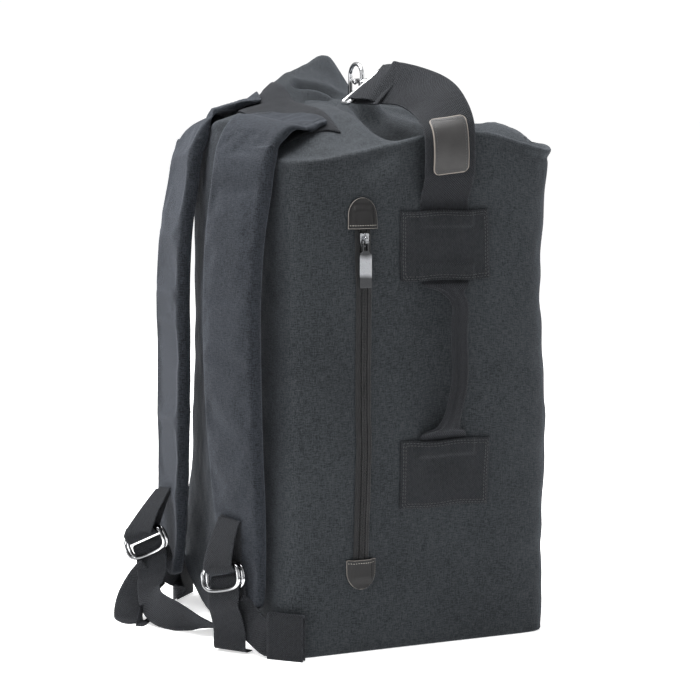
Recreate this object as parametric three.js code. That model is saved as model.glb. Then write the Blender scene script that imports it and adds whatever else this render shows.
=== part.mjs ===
// A canvas bucket rucksack, standing on its base. Millimetres, +Z up, origin at the middle of the base.
// The shoulder straps are on the +Y side, the zip and the carry handle on the -X side.
import * as THREE from "three";

// Driving sizes.
const BAG = { width: 275, depth: 272, height: 466, wall: 2, baseRound: 7 };
const MOUTH = { x: 0.29, y: 0.13, width: 16, length: 58, height: 1.095 };
const CLEAR = 0.4; // gap between pieces that touch
const BROAD = { width: 50, thick: 1.8 }; // sling webbing
const NARROW = { width: 34, thick: 1.8 }; // adjuster webbing
const PAD = { width: 80, thick: 15 }; // shoulder strap
const BAND = { width: 56, length: 190, thick: 1.8, y: 0.655 };
const PATCH = { width: 91, height: 64, thick: 1.8, y: -0.17, top: 0.811, bottom: 0.355, tuck: 12 };
const GRIP = { width: 16, thick: 8, standOff: 24, endWidth: 48 };
const RING = { wire: 3.5, width: 43, drop: 24, apart: 7, squareness: 3.2 };
const LOOP = { height: 43, width: 36, gap: 2.8 };
const BIGHT = 8.6; // how far an adjuster reaches up through its rings
const TAG = { width: 35, thick: 1.6, from: 0.03, to: 0.36 };
const ZIP = { y: 0.44, top: 0.875, bottom: 0.165, tape: 15, tapeThick: 0.9, coil: 5, coilThick: 1.4 };
const TAB = { width: 29, height: 28, thick: 1.6 };
const SLIDER = { width: 9, height: 13, thick: 2.6, z: 0.826, bridge: 2.4 };
const PULL = { width: 12, length: 33, thick: 1.6, eye: 9, wire: 1.8 };
const STAPLE = { x: 0.073, y: -0.015, width: 32, height: 36, wire: 4 };
const EYELET = { length: 44, width: 25, rim: 4.5, thick: 1.8 };
const SNAP = { loopWidth: 58, loopDepth: 15, wire: 4, barrel: 8, length: 38, eye: 14, hookWire: 5, gateWire: 3.2 };

const HALF = { x: BAG.width / 2, y: BAG.depth / 2 };
const SEGMENTS = 50;
const degrees = THREE.MathUtils.degToRad;
const vec = (x, y, z) => new THREE.Vector3(x, y, z);
const clamp01 = (v) => Math.min(1, Math.max(0, v));
const smooth = (v) => clamp01(v) ** 2 * (3 - 2 * clamp01(v));

// Reads one column of a table at a place between its rows, along a smooth curve.
function column(rows, along, name, at) {
  const last = rows.length - 1;
  let i = 0;
  while (i < last - 1 && rows[i + 1][along] < at) i++;
  const slope = (k) => {
    const a = rows[Math.max(0, k - 1)];
    const b = rows[Math.min(last, k + 1)];
    return (b[name] - a[name]) / (b[along] - a[along]);
  };
  const span = rows[i + 1][along] - rows[i][along];
  const t = clamp01((at - rows[i][along]) / span);
  const [p, q, m, n] = [rows[i][name], rows[i + 1][name], slope(i) * span, slope(i + 1) * span];
  return p * (1 + 2 * t) * (1 - t) ** 2 + m * t * (1 - t) ** 2 + q * t * t * (3 - 2 * t) + n * t * t * (t - 1);
}

// Turns triangles into a closed body whose faces point out.
function body(points, triangles) {
  let volume = 0;
  for (const [a, b, c] of triangles) volume += points[a].dot(points[b].clone().cross(points[c]));
  const geometry = new THREE.BufferGeometry();
  geometry.setAttribute("position", new THREE.Float32BufferAttribute(points.flatMap((p) => p.toArray()), 3));
  geometry.setIndex(triangles.flatMap(([a, b, c]) => (volume < 0 ? [a, c, b] : [a, b, c])));
  geometry.computeVertexNormals();
  return geometry;
}

// Joins rings of points into a body: end caps are fans, or the last ring meets the first.
function loft(rings, closed = false) {
  const n = rings[0].length;
  const points = rings.flat();
  const triangles = [];
  const joins = closed ? rings.length : rings.length - 1;
  for (let j = 0; j < joins; j++) {
    for (let i = 0; i < n; i++) {
      const a = j * n + i;
      const b = j * n + ((i + 1) % n);
      const c = ((j + 1) % rings.length) * n + i;
      const d = ((j + 1) % rings.length) * n + ((i + 1) % n);
      triangles.push([a, b, d], [a, d, c]);
    }
  }
  if (!closed) {
    for (const [start, turn] of [[0, 1], [(rings.length - 1) * n, -1]]) {
      const middle = points.length;
      const ring = points.slice(start, start + n);
      points.push(ring.reduce((sum, p) => sum.add(p), vec(0, 0, 0)).divideScalar(n));
      for (let i = 0; i < n; i++) {
        const a = start + i;
        const b = start + ((i + 1) % n);
        triangles.push(turn > 0 ? [middle, b, a] : [middle, a, b]);
      }
    }
  }
  return body(points, triangles);
}

// A thin body between two layers of a grid: place(u, v, layer) gives each corner.
function slab(us, vs, place) {
  const rings = vs.map((v) => [...us.map((u) => place(u, v, 0)), ...[...us].reverse().map((u) => place(u, v, 1))]);
  const n = rings[0].length;
  const m = us.length;
  const points = rings.flat();
  const triangles = [];
  for (let j = 0; j < vs.length - 1; j++) {
    for (let i = 0; i < n; i++) {
      const [a, b] = [j * n + i, j * n + ((i + 1) % n)];
      triangles.push([a, b, b + n], [a, b + n, a + n]);
    }
  }
  for (const [start, turn] of [[0, 1], [(vs.length - 1) * n, -1]]) {
    for (let i = 0; i < m - 1; i++) {
      const [a, b, c, d] = [start + i, start + i + 1, start + n - 2 - i, start + n - 1 - i];
      if (turn > 0) triangles.push([b, a, d], [b, d, c]);
      else triangles.push([a, b, d], [b, c, d]);
    }
  }
  return body(points, triangles);
}

const steps = (from, to, count) => Array.from({ length: count + 1 }, (_, i) => from + ((to - from) * i) / count);

// Wall sections of the bag, by share of the crease height: half sizes and shift are shares of the
// base's half sizes, and squareness is the power of the rounded square.
const WALL = [
  { up: 0, width: 0.99, depth: 1.01, shift: -0.02, squareness: 18 },
  { up: 0.13, width: 1.015, depth: 1.03, shift: -0.03, squareness: 10 },
  { up: 0.4, width: 1.055, depth: 1.045, shift: -0.05, squareness: 7 },
  { up: 0.73, width: 1.05, depth: 1.022, shift: -0.038, squareness: 7 },
  { up: 0.92, width: 1.03, depth: 1.03, shift: -0.05, squareness: 8 },
  { up: 1, width: 1.015, depth: 1.04, shift: -0.07, squareness: 9 },
];

// Height of the top crease round the bag, as a share of the bag's height. Angle 0 is +X, 90 is +Y.
const CREASE = [
  { angle: 0, height: 1.03 },
  { angle: 45, height: 0.985 },
  { angle: 90, height: 1.025 },
  { angle: 135, height: 0.98 },
  { angle: 165, height: 1.01 },
  { angle: 185, height: 1.033 },
  { angle: 205, height: 1.028 },
  { angle: 225, height: 0.998 },
  { angle: 270, height: 1.045 },
  { angle: 315, height: 1.0 },
  { angle: 360, height: 1.03 },
];

// Folds of the top: where they lie round the bag and from crease (0) to mouth (1), how high they
// stand as a share of the bag's height, and how far they spread.
const FOLDS = [
  { name: "near pleat", angle: 150, at: 0.42, lift: 0.018, fan: 12, reach: 0.34 },
  { name: "hollow under the sling", angle: 182, at: 0.4, lift: -0.05, fan: 14, reach: 0.26 },
  { name: "front hollow", angle: 232, at: 0.24, lift: -0.022, fan: 30, reach: 0.16 },
  { name: "front pleat", angle: 262, at: 0.55, lift: 0.02, fan: 14, reach: 0.3 },
  { name: "far hollow", angle: 318, at: 0.35, lift: -0.03, fan: 22, reach: 0.24 },
];

// Dents of the wall just under the crease: how deep, as a share of the bag's width.
const DENTS = [
  { name: "rounded far corner", angle: 45, up: 0, depth: 0.045, fan: 12, reach: 0.04 },
  { name: "full far corner", angle: 45, up: 0.16, depth: -0.045, fan: 12, reach: 0.1 },
  { name: "nose fold", angle: 160, up: 0.985, depth: 0.03, fan: 8, reach: 0.035 },
  { name: "front sag", angle: 262, up: 0.74, depth: 0.02, fan: 26, reach: 0.16 },
  { name: "side sag", angle: 186, up: 0.93, depth: 0.012, fan: 14, reach: 0.05 },
];

// The peak is a flap pressed flat: its crest runs straight from place to place (shares of the half
// sizes), and both its faces fall away over the spread.
const CREST = [
  { x: 0.42, y: 0.55, lift: 0 },
  { x: 0.72, y: -0.08, lift: 0.15 },
  { x: 0.6, y: -0.5, lift: 0 },
];
const CREST_SPREAD = 0.42;

function crestLift(x, y) {
  let most = 0;
  for (let i = 0; i < CREST.length - 1; i++) {
    const [a, b] = [CREST[i], CREST[i + 1]];
    const [u, v] = [(b.x - a.x) * HALF.x, (b.y - a.y) * HALF.y];
    const t = clamp01(((x - a.x * HALF.x) * u + (y - a.y * HALF.y) * v) / (u * u + v * v));
    const off = Math.hypot(x - a.x * HALF.x - t * u, y - a.y * HALF.y - t * v) / (CREST_SPREAD * HALF.x);
    most = Math.max(most, (a.lift + (b.lift - a.lift) * t) * Math.max(0, 1 - off) ** 1.15);
  }
  return most * BAG.height;
}

const turnBetween = (a, b) => Math.abs(((a - b + 540) % 360) - 180);
const spread = (row, angle, name, at) =>
  Math.exp(-((turnBetween(angle, row.angle) / row.fan) ** 2) - ((at - row[name]) / row.reach) ** 2);

function wallPoint(angle, up) {
  const [c, s] = [Math.cos(degrees(angle)), Math.sin(degrees(angle))];
  const a = HALF.x * column(WALL, "up", "width", up);
  const b = HALF.y * column(WALL, "up", "depth", up);
  const n = column(WALL, "up", "squareness", up);
  const radius = 1 / (Math.abs(c / a) ** n + Math.abs(s / b) ** n) ** (1 / n);
  const dent = DENTS.reduce((sum, row) => sum + row.depth * BAG.width * spread(row, angle, "up", up), 0);
  const height = up * BAG.height * column(CREASE, "angle", "height", angle);
  return vec((radius - dent) * c, (radius - dent) * s + HALF.y * column(WALL, "up", "shift", up), height);
}

function topPoint(angle, at) {
  const edge = wallPoint(angle, 1);
  const [c, s] = [Math.cos(degrees(angle)), Math.sin(degrees(angle))];
  const mouth = vec(
    HALF.x * MOUTH.x + (MOUTH.width / 2) * c,
    HALF.y * MOUTH.y + (MOUTH.length / 2) * s,
    BAG.height * (MOUTH.height + 0.008 * c),
  );
  const back = smooth(1.25 - turnBetween(angle, 108) / 80);
  const rise = back * (1 - (1 - at) ** 1.6) + (1 - back) * at ** 1.5;
  const fade = smooth(at / 0.12) * smooth((1 - at) / 0.1);
  const fold = FOLDS.reduce((sum, row) => sum + row.lift * BAG.height * spread(row, angle, "at", at), 0);
  const [x, y] = [edge.x + (mouth.x - edge.x) * at, edge.y + (mouth.y - edge.y) * at];
  const free = edge.z + (mouth.z - edge.z) * rise + (fold + crestLift(x, y)) * fade;
  // The fabric lies flat under the eyelet.
  const off = Math.hypot((x - STAPLE.x * HALF.x) / EYELET.length, (y - STAPLE.y * HALF.y) / EYELET.width);
  const flat = smooth((1 - off) / 0.35);
  return vec(x, y, free + (MOUTH.height * BAG.height - free) * flat);
}

// The bag's skin as one surface from the middle of the base (0) up the wall and over the top to the mouth.
function skinRings(ups, ats) {
  const angles = steps(0, 360, SEGMENTS).slice(0, SEGMENTS);
  const base = [0.5, 1].map((share) =>
    angles.map((angle) => {
      const foot = wallPoint(angle, 0);
      const inset = share * (1 - BAG.baseRound / foot.length());
      return vec(foot.x * inset, foot.y * inset, 0);
    }),
  );
  const foot = angles.map((angle) => wallPoint(angle, 0).setZ(BAG.baseRound));
  const wall = ups.map((up) => angles.map((angle) => wallPoint(angle, up)));
  const top = ats.map((at) => angles.map((angle) => topPoint(angle, at)));
  return [...base, foot, ...wall, ...top];
}

// Moves every ring inwards by the wall's thickness, along the surface's own normals.
function inset(rings, distance) {
  const n = rings[0].length;
  return rings.map((ring, j) =>
    ring.map((p, i) => {
      const around = ring[(i + 1) % n].clone().sub(ring[(i + n - 1) % n]);
      const before = rings[Math.max(0, j - 1)][i];
      const after = rings[Math.min(rings.length - 1, j + 1)][i];
      const normal = around.cross(after.clone().sub(before)).normalize();
      return p.clone().addScaledVector(normal, -distance);
    }),
  );
}

function bagBody() {
  const outerUps = [0.06, 0.13, 0.22, 0.31, 0.4, 0.5, 0.6, 0.7, 0.79, 0.87, 0.93, 0.97, 0.99, 1];
  const innerUps = [0.06, 0.22, 0.4, 0.6, 0.79, 0.93, 0.98, 1];
  const ats = [0.03, 0.08, 0.15, 0.23, 0.32, 0.41, 0.5, 0.58, 0.66, 0.74, 0.82, 0.9, 1];
  const innerAts = [0.03, 0.15, 0.32, 0.5, 0.66, 0.82, 1];
  const outer = skinRings(outerUps, ats);
  const inner = inset(skinRings(innerUps, innerAts), BAG.wall);
  for (const ring of inner.slice(0, 2)) for (const p of ring) p.z = BAG.wall;
  return loft([...outer, ...inner.reverse()]);
}

const material = (color, roughness, metalness = 0) =>
  new THREE.MeshStandardMaterial({ color, roughness, metalness, side: THREE.DoubleSide });
const CANVAS = material(0x2c2f36, 0.92);
const PADDING = material(0x343943, 0.92);
const WEBBING = material(0x17181b, 0.85);
const LEATHER = material(0x2a211d, 0.5);
const STEEL = material(0xb4b6ba, 0.28, 1);
const GUNMETAL = material(0x4a4c50, 0.3, 1);
const COIL = material(0x121214, 0.5);

const group = new THREE.Group();
function add(name, geometry, finish) {
  const mesh = new THREE.Mesh(geometry, finish);
  mesh.name = name;
  group.add(mesh);
  return mesh;
}

const bag = add("bag_body", bagBody(), CANVAS);
bag.updateMatrixWorld(true);

// Places on the outside of the bag, found by looking along an axis.
function hit(origin, direction, fallback) {
  const hits = new THREE.Raycaster(origin, direction).intersectObject(bag);
  return hits.length ? hits[0].point : fallback;
}
const sideX = (y, z) => hit(vec(-4 * BAG.width, y, z), vec(1, 0, 0), vec(-HALF.x, y, z)).x;
const topZ = (x, y) => hit(vec(x, y, 4 * BAG.height), vec(0, 0, -1), vec(x, y, BAG.height)).z;
// The outermost place close by, so that what lies there clears the facets round it.
const SPOTS = [[0, 0], [-5, 0], [5, 0], [0, -5], [0, 5]];
const coverZ = (x, y) => Math.max(...SPOTS.map(([u, v]) => topZ(x + u, y + v)));
const coverX = (y, z) => Math.min(...SPOTS.map(([u, v]) => sideX(y + u, z + v)));
const onSide = (y, z, lift) => vec(coverX(y, z) - lift, y, z);

// Webbing along a path: each stop has a middle point, a width direction and perhaps a width.
function ribbon(stops, width, thick, columns = 2) {
  const us = steps(-0.5, 0.5, columns);
  const places = stops.map((stop, j) => {
    const before = stops[Math.max(0, j - 1)].p;
    const after = stops[Math.min(stops.length - 1, j + 1)].p;
    const along = after.clone().sub(before).normalize();
    return { ...stop, normal: along.cross(stop.w).normalize() };
  });
  return slab(us, steps(0, stops.length - 1, stops.length - 1), (u, j, layer) => {
    const { p, w, normal, dish = null } = places[j];
    const place = p.clone().addScaledVector(w, u * (places[j].width ?? width));
    if (dish) place.addScaledVector(dish, 1 - 4 * u * u);
    return place.addScaledVector(normal, (layer - 0.5) * thick);
  });
}

// A width direction from its swing round Z and its rise over the level.
const aim = (swing, rise) =>
  vec(
    Math.cos(degrees(rise)) * Math.cos(degrees(swing)),
    Math.cos(degrees(rise)) * Math.sin(degrees(swing)),
    Math.sin(degrees(rise)),
  );

// Smooth stops through a few rows whose places are shares of the bag's half sizes and height.
function route(rows, count) {
  const numbered = rows.map((row, i) => ({ ...row, i }));
  return steps(0, rows.length - 1, count).map((i) => ({
    p: vec(
      HALF.x * column(numbered, "i", "x", i),
      HALF.y * column(numbered, "i", "y", i),
      BAG.height * column(numbered, "i", "z", i),
    ),
    w: aim(column(numbered, "i", "swing", i), column(numbered, "i", "rise", i)),
  }));
}

// A round wire along a path of points.
function wire(points, diameter, sides = 8, closed = false) {
  const n = points.length;
  let guide = null;
  const rings = points.map((p, j) => {
    const before = closed ? points[(j + n - 1) % n] : points[Math.max(0, j - 1)];
    const after = closed ? points[(j + 1) % n] : points[Math.min(n - 1, j + 1)];
    const along = after.clone().sub(before).normalize();
    if (!guide) guide = Math.abs(along.z) < 0.9 ? vec(0, 0, 1) : vec(1, 0, 0);
    const e = guide.clone().addScaledVector(along, -guide.dot(along)).normalize();
    guide = e;
    const f = along.clone().cross(e);
    return steps(0, 2 * Math.PI, sides).slice(0, sides).map((t) =>
      p.clone().addScaledVector(e, (diameter / 2) * Math.cos(t)).addScaledVector(f, (diameter / 2) * Math.sin(t)),
    );
  });
  return loft(rings, closed);
}

// The band across the shoulder, on which both straps are sewn.
const bandLift = BAND.thick - 0.4;
add(
  "anchor_band",
  slab(steps(-0.5, 0.5, 18), steps(-0.5, 0.5, 7), (u, v, layer) => {
    const [x, y] = [u * BAND.length, BAND.y * HALF.y + v * BAND.width];
    return vec(x, y, coverZ(x, y) + bandLift + (layer - 1) * BAND.thick);
  }),
  WEBBING,
);

// Shoulder strap, from its rounded lower end up the back and over the shoulder: places are shares of
// the bag's half sizes and height, width and thickness are shares of the pad's, and lay is 1 where the
// strap lies on the band.
const STRAP = [
  { x: 0.612, y: 1.13, z: 0.133, width: 0.42, thick: 0.5, swing: 9, rise: 0, lay: 0 },
  { x: 0.612, y: 1.132, z: 0.148, width: 0.66, thick: 0.62, swing: 9, rise: 0, lay: 0 },
  { x: 0.61, y: 1.135, z: 0.175, width: 0.78, thick: 0.7, swing: 9, rise: 0, lay: 0 },
  { x: 0.605, y: 1.155, z: 0.27, width: 0.88, thick: 0.95, swing: 9, rise: 0, lay: 0 },
  { x: 0.595, y: 1.185, z: 0.43, width: 0.96, thick: 1, swing: 9, rise: 0, lay: 0 },
  { x: 0.59, y: 1.2, z: 0.58, width: 1, thick: 1, swing: 9, rise: 0, lay: 0 },
  { x: 0.59, y: 1.2, z: 0.7, width: 1, thick: 1, swing: 9, rise: 0, lay: 0 },
  { x: 0.585, y: 1.175, z: 0.82, width: 1, thick: 1, swing: 10, rise: 2, lay: 0 },
  { x: 0.575, y: 1.125, z: 0.915, width: 1, thick: 1, swing: 11, rise: 3, lay: 0 },
  { x: 0.56, y: 1.07, z: 0.997, width: 1, thick: 0.95, swing: 12, rise: 4, lay: 0 },
  { x: 0.525, y: 0.945, z: 1.052, width: 1, thick: 0.8, swing: 14, rise: 6, lay: 0.3 },
  { x: 0.465, y: 0.785, z: 1.074, width: 1, thick: 0.7, swing: 17, rise: 9, lay: 0.6 },
  { x: 0.4, y: 0.62, z: 1.08, width: 0.97, thick: 0.5, swing: 19, rise: 14, lay: 1 },
];

// Cross section of the pad: a flat pillow, from one edge to the other and back.
const PILLOW = [
  [-0.5, -0.2], [-0.5, 0.2], [-0.4, 0.44], [-0.2, 0.5], [0.2, 0.5], [0.4, 0.44],
  [0.5, 0.2], [0.5, -0.2], [0.36, -0.46], [0, -0.5], [-0.36, -0.46],
];

function strapRow(side, flare, swing, i) {
  const rows = STRAP.map((row, k) => ({ ...row, i: k }));
  const read = (name) => column(rows, "i", name, i);
  const low = Math.max(0, 1 - read("z") / 0.62) ** 1.6;
  const w = aim(read("swing") + swing, read("rise"));
  return {
    p: vec(side * HALF.x * read("x"), HALF.y * (read("y") + flare * low), BAG.height * read("z")),
    w: vec(-side * w.x, w.y, w.z),
    width: PAD.width * read("width"),
    thick: PAD.thick * read("thick"),
    lay: smooth(read("lay")),
  };
}

function shoulderStrap(side, flare, swing) {
  const rows = steps(0, STRAP.length - 1, 22).map((i) => strapRow(side, flare, swing, i));
  return loft(
    rows.map((row, j) => {
      const along = rows[Math.min(rows.length - 1, j + 1)].p.clone().sub(rows[Math.max(0, j - 1)].p).normalize();
      const out = row.w.clone().cross(along).multiplyScalar(side < 0 ? 1 : -1).normalize();
      return PILLOW.map(([u, h]) => {
        const free = row.p.clone().addScaledVector(row.w, u * row.width).addScaledVector(out, h * row.thick);
        if (row.lay === 0) return free;
        const under = coverZ(free.x, free.y) + bandLift + (h + 0.5) * row.thick;
        free.z += under > free.z ? under - free.z : Math.max(under - free.z, -14) * row.lay;
        return free;
      });
    }),
  );
}
const SIDES = [
  { name: "left", side: -1, flare: 0, swing: 5 },
  { name: "right", side: 1, flare: 0.14, swing: -6 },
];
for (const { name, side, flare, swing } of SIDES) {
  add("shoulder_strap_" + name, shoulderStrap(side, flare, swing), PADDING);
}

// Ring pairs: the middle of the bars is a share of the bag's sizes, the width direction runs from the
// outer end to the inner end, and down points from the bars to the curved side.
const RINGS = [
  { name: "left", x: -0.618, y: 1.29, z: 0.18, swing: 31, rise: -14, down: [-0.1, 0.12, -1] },
  { name: "right", x: 0.56, y: 1.474, z: 0.1845, swing: 226, rise: 26, down: [0.06, 0.1, -1] },
];

function ringFrame(row) {
  const w = aim(row.swing, row.rise);
  const down = vec(...row.down);
  down.addScaledVector(w, -down.dot(w)).normalize();
  const out = w.clone().cross(down).normalize();
  if (out.y < 0) out.negate();
  const bar = vec(row.x * HALF.x, row.y * HALF.y, row.z * BAG.height);
  return { bar, w, down, out, low: bar.clone().addScaledVector(down, RING.drop) };
}

function ringWire(frame, shift) {
  const middle = frame.bar.clone().addScaledVector(frame.down, RING.drop / 2).addScaledVector(frame.out, shift);
  const power = 2 / RING.squareness;
  const points = steps(0, 2 * Math.PI, 16).slice(0, 16).map((t) => {
    const [c, s] = [Math.cos(t), Math.sin(t)];
    return middle
      .clone()
      .addScaledVector(frame.w, (RING.width / 2) * Math.sign(c) * Math.abs(c) ** power)
      .addScaledVector(frame.down, (RING.drop / 2) * Math.sign(s) * Math.abs(s) ** power);
  });
  return wire(points, RING.wire, 6, true);
}

// Stops round a bar: from one side of it to the other, a turn of the webbing.
function turnRound(centre, w, from, over, radius, count = 6) {
  return steps(0, Math.PI, count).map((t) => ({
    p: centre.clone().addScaledVector(from, radius * Math.cos(t)).addScaledVector(over, radius * Math.sin(t)),
    w: w.clone(),
  }));
}

// Joins two stops' directions part of the way.
const between = (a, b, t) => ({ p: a.p.clone().lerp(b.p, t), w: a.w.clone().lerp(b.w, t).normalize() });

const layer = NARROW.thick + CLEAR;
const wrapRadius = (bars) => bars / 2 + RING.wire / 2 + 2 * CLEAR + NARROW.thick / 2;

// Places on the front of a shoulder strap, lifted off it.
function onStrap(strap, z, lift) {
  const rows = steps(0, STRAP.length - 1, 120).map((i) => strapRow(strap.side, strap.flare, strap.swing, i));
  const row = rows.find((r) => r.p.z >= z);
  const w = vec(row.w.x, row.w.y, 0).normalize().multiplyScalar(-strap.side);
  const p = row.p.clone();
  p.y += row.thick / 2 + lift;
  return { p, w };
}

// Corner loops: the foot of each is at the bag's corner, on the floor.
const cornerAt = (side) => {
  const diagonal = THREE.MathUtils.radToDeg(Math.atan2(HALF.y, HALF.x));
  const angle = side < 0 ? 180 - diagonal : diagonal;
  const reaches = steps(0, LOOP.height / BAG.height, 4).map((up) => wallPoint(angle, up).setZ(0).length());
  const reach = Math.max(...reaches) + CLEAR;
  const out = vec(Math.cos(degrees(angle)), Math.sin(degrees(angle)), 0);
  return { out, w: vec(-side * out.y, Math.abs(out.x), 0).normalize(), foot: out.clone().multiplyScalar(reach) };
};

SIDES.forEach((strap, k) => {
  const frame = ringFrame(RINGS[k]);
  add("ring_" + strap.name + "_inner", ringWire(frame, -RING.apart / 2), STEEL);
  add("ring_" + strap.name + "_outer", ringWire(frame, RING.apart / 2), STEEL);

  // The tab is doubled: down the front of the strap, round both bars, and up again behind itself.
  const wide = wrapRadius(RING.apart) + CLEAR;
  const upper = onStrap(strap, 0.265 * BAG.height, CLEAR + NARROW.thick / 2 + layer);
  const lower = onStrap(strap, 0.262 * BAG.height, CLEAR + NARROW.thick / 2);
  const frontTurn = turnRound(frame.bar, frame.w, frame.out, frame.down, wide);
  const front = frontTurn[0];
  const backEnd = frontTurn[frontTurn.length - 1];
  const bend = (a, b, lift) => {
    const stop = between(a, b, 0.5);
    stop.p.y += lift;
    return stop;
  };
  const sense = frame.w.dot(upper.w) < 0 ? -1 : 1;
  for (const stop of [upper, lower]) stop.w.multiplyScalar(sense);
  add(
    "strap_tab_" + strap.name,
    ribbon(
      [upper, bend(upper, front, 1.5), ...frontTurn, bend(backEnd, lower, 0.4), lower],
      NARROW.width,
      NARROW.thick,
    ),
    WEBBING,
  );

  const corner = cornerAt(strap.side);
  const stand = NARROW.thick / 2;
  const fold = LOOP.gap / 2 + stand;
  const inner = corner.foot.clone().addScaledVector(corner.out, stand);
  const outer = inner.clone().addScaledVector(corner.out, 2 * fold);
  const foldAt = inner.clone().addScaledVector(corner.out, fold).setZ(LOOP.height - fold);
  const at = (p, z) => ({ p: p.clone().setZ(z), w: corner.w });
  add(
    "corner_loop_" + strap.name,
    ribbon(
      [
        at(inner, CLEAR),
        at(inner, LOOP.height / 2),
        ...turnRound(foldAt, corner.w, corner.out.clone().negate(), vec(0, 0, 1), fold),
        at(outer, LOOP.height / 2),
        at(outer, CLEAR),
      ],
      LOOP.width,
      NARROW.thick,
    ),
    WEBBING,
  );
});

// Adjusters: from inside the corner loop up behind the rings, over the low side of the inner ring, and
// down in front as a tail. Places are shares of the bag's half sizes and of its height.
const RISERS = {
  left: [
    { x: -0.76, y: 1.13, z: 0.06, swing: 211, rise: 80 },
    { x: -0.7, y: 1.17, z: 0.082, swing: 211, rise: 50 },
    { x: -0.655, y: 1.225, z: 0.1, swing: 211, rise: 20 },
  ],
  right: [
    { x: 0.82, y: 1.09, z: 0.07, swing: 226, rise: 82 },
    { x: 0.68, y: 1.22, z: 0.095, swing: 226, rise: 56 },
    { x: 0.575, y: 1.35, z: 0.112, swing: 226, rise: 28 },
  ],
};
const TAILS = {
  left: [
    { x: -0.655, y: 1.3, z: 0.1, swing: 33, rise: -10 },
    { x: -0.645, y: 1.255, z: 0.05, swing: 39, rise: 0 },
    { x: -0.64, y: 1.25, z: 0.014, swing: 39, rise: 0 },
    { x: -0.622, y: 1.228, z: 0.0034, swing: 39, rise: 0 },
    { x: -0.585, y: 1.165, z: 0.003, swing: 39, rise: 0 },
  ],
  right: [
    { x: 0.47, y: 1.43, z: 0.1, swing: 46, rise: -26 },
    { x: 0.4, y: 1.47, z: 0.062, swing: 40, rise: -42 },
    { x: 0.22, y: 1.48, z: 0.042, swing: 30, rise: -62 },
    { x: 0.02, y: 1.4, z: 0.033, swing: 10, rise: -62 },
    { x: -0.08, y: 1.27, z: 0.021, swing: 0, rise: -32 },
    { x: -0.1, y: 1.14, z: 0.01, swing: 0, rise: -10 },
  ],
};
// The right adjuster's folded end, which hangs behind its tail and turns back along the floor.
const FOLDED_END = [
  { x: 0.482, y: 1.4175, z: 0.1, swing: 226, rise: 24 },
  { x: 0.56, y: 1.49, z: 0.068, swing: 225, rise: 12 },
  { x: 0.58, y: 1.555, z: 0.036, swing: 224, rise: 6 },
  { x: 0.51, y: 1.585, z: 0.012, swing: 222, rise: 3 },
  { x: 0.43, y: 1.565, z: 0.004, swing: 220, rise: 0 },
  { x: 0.34, y: 1.49, z: 0.0034, swing: 220, rise: 0 },
];
SIDES.forEach((strap, k) => {
  const frame = ringFrame(RINGS[k]);
  const corner = cornerAt(strap.side);
  const radius = wrapRadius(0) + 1.1;
  const turnAt = frame.low.clone().addScaledVector(frame.out, -RING.apart / 2 - 0.9).addScaledVector(frame.down, -0.4);
  const up = frame.down.clone().negate();
  const bight = turnRound(turnAt.clone().addScaledVector(up, BIGHT), frame.w, frame.out.clone().negate(), up, radius, 6);
  const [behind, before] = [-1, 1].map((to) => ({ p: turnAt.clone().addScaledVector(frame.out, to * radius), w: frame.w }));
  const turn = [behind, ...bight, before];
  const inLoop = corner.foot.clone().addScaledVector(corner.out, NARROW.thick + LOOP.gap / 2);
  const start = [0, 0.5, 0.56].map((share) => ({
    p: inLoop.clone().addScaledVector(corner.w, share * LOOP.width).setZ(NARROW.width / 2 + 2),
    w: vec(0, 0, 1),
  }));
  const sense = (stops, w) => stops.map((stop) => (stop.w.dot(w) < 0 ? { ...stop, w: stop.w.clone().negate() } : stop));
  const riser = route(RISERS[strap.name], 6);
  const top = riser[riser.length - 1].w;
  const turned = sense(turn, top);
  const tail = sense(route(TAILS[strap.name], 10), turned[0].w);
  const stops = [...start, ...riser, ...turned, ...tail];
  add("adjuster_" + strap.name, ribbon(stops, NARROW.width, NARROW.thick), WEBBING);
});
add("adjuster_end_right", ribbon(route(FOLDED_END, 10), NARROW.width, NARROW.thick), WEBBING);

// Webbing patches on the side, with a hump where webbing passes under their edges.
function patch(middle, under) {
  const half = PATCH.width / 2;
  const hump = BROAD.width / 2 + 1.5;
  const us = [-half, -hump - 5, -hump, -hump / 2, 0, hump / 2, hump, hump + 5, half];
  const tall = PATCH.height / 2;
  const vs = [-tall, -tall + PATCH.tuck + 1.5, -tall + PATCH.tuck + 6, 0, tall - PATCH.tuck - 6, tall - PATCH.tuck - 1.5, tall];
  return slab(us, vs, (u, v, layerAt) => {
    const across = clamp01((hump + 5 - Math.abs(u)) / 5);
    const top = under.top ? clamp01((v - tall + PATCH.tuck + 6) / 4.5) : 0;
    const low = under.bottom ? clamp01((-v - tall + PATCH.tuck + 6) / 4.5) : 0;
    const lift = CLEAR + (BROAD.thick + CLEAR) * across * Math.max(top, low);
    return onSide(PATCH.y * HALF.y + u, middle * BAG.height + v, lift + layerAt * PATCH.thick);
  });
}
add("patch_top", patch(PATCH.top, { top: true, bottom: true }), WEBBING);
add("patch_bottom", patch(PATCH.bottom, { top: true }), WEBBING);

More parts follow.
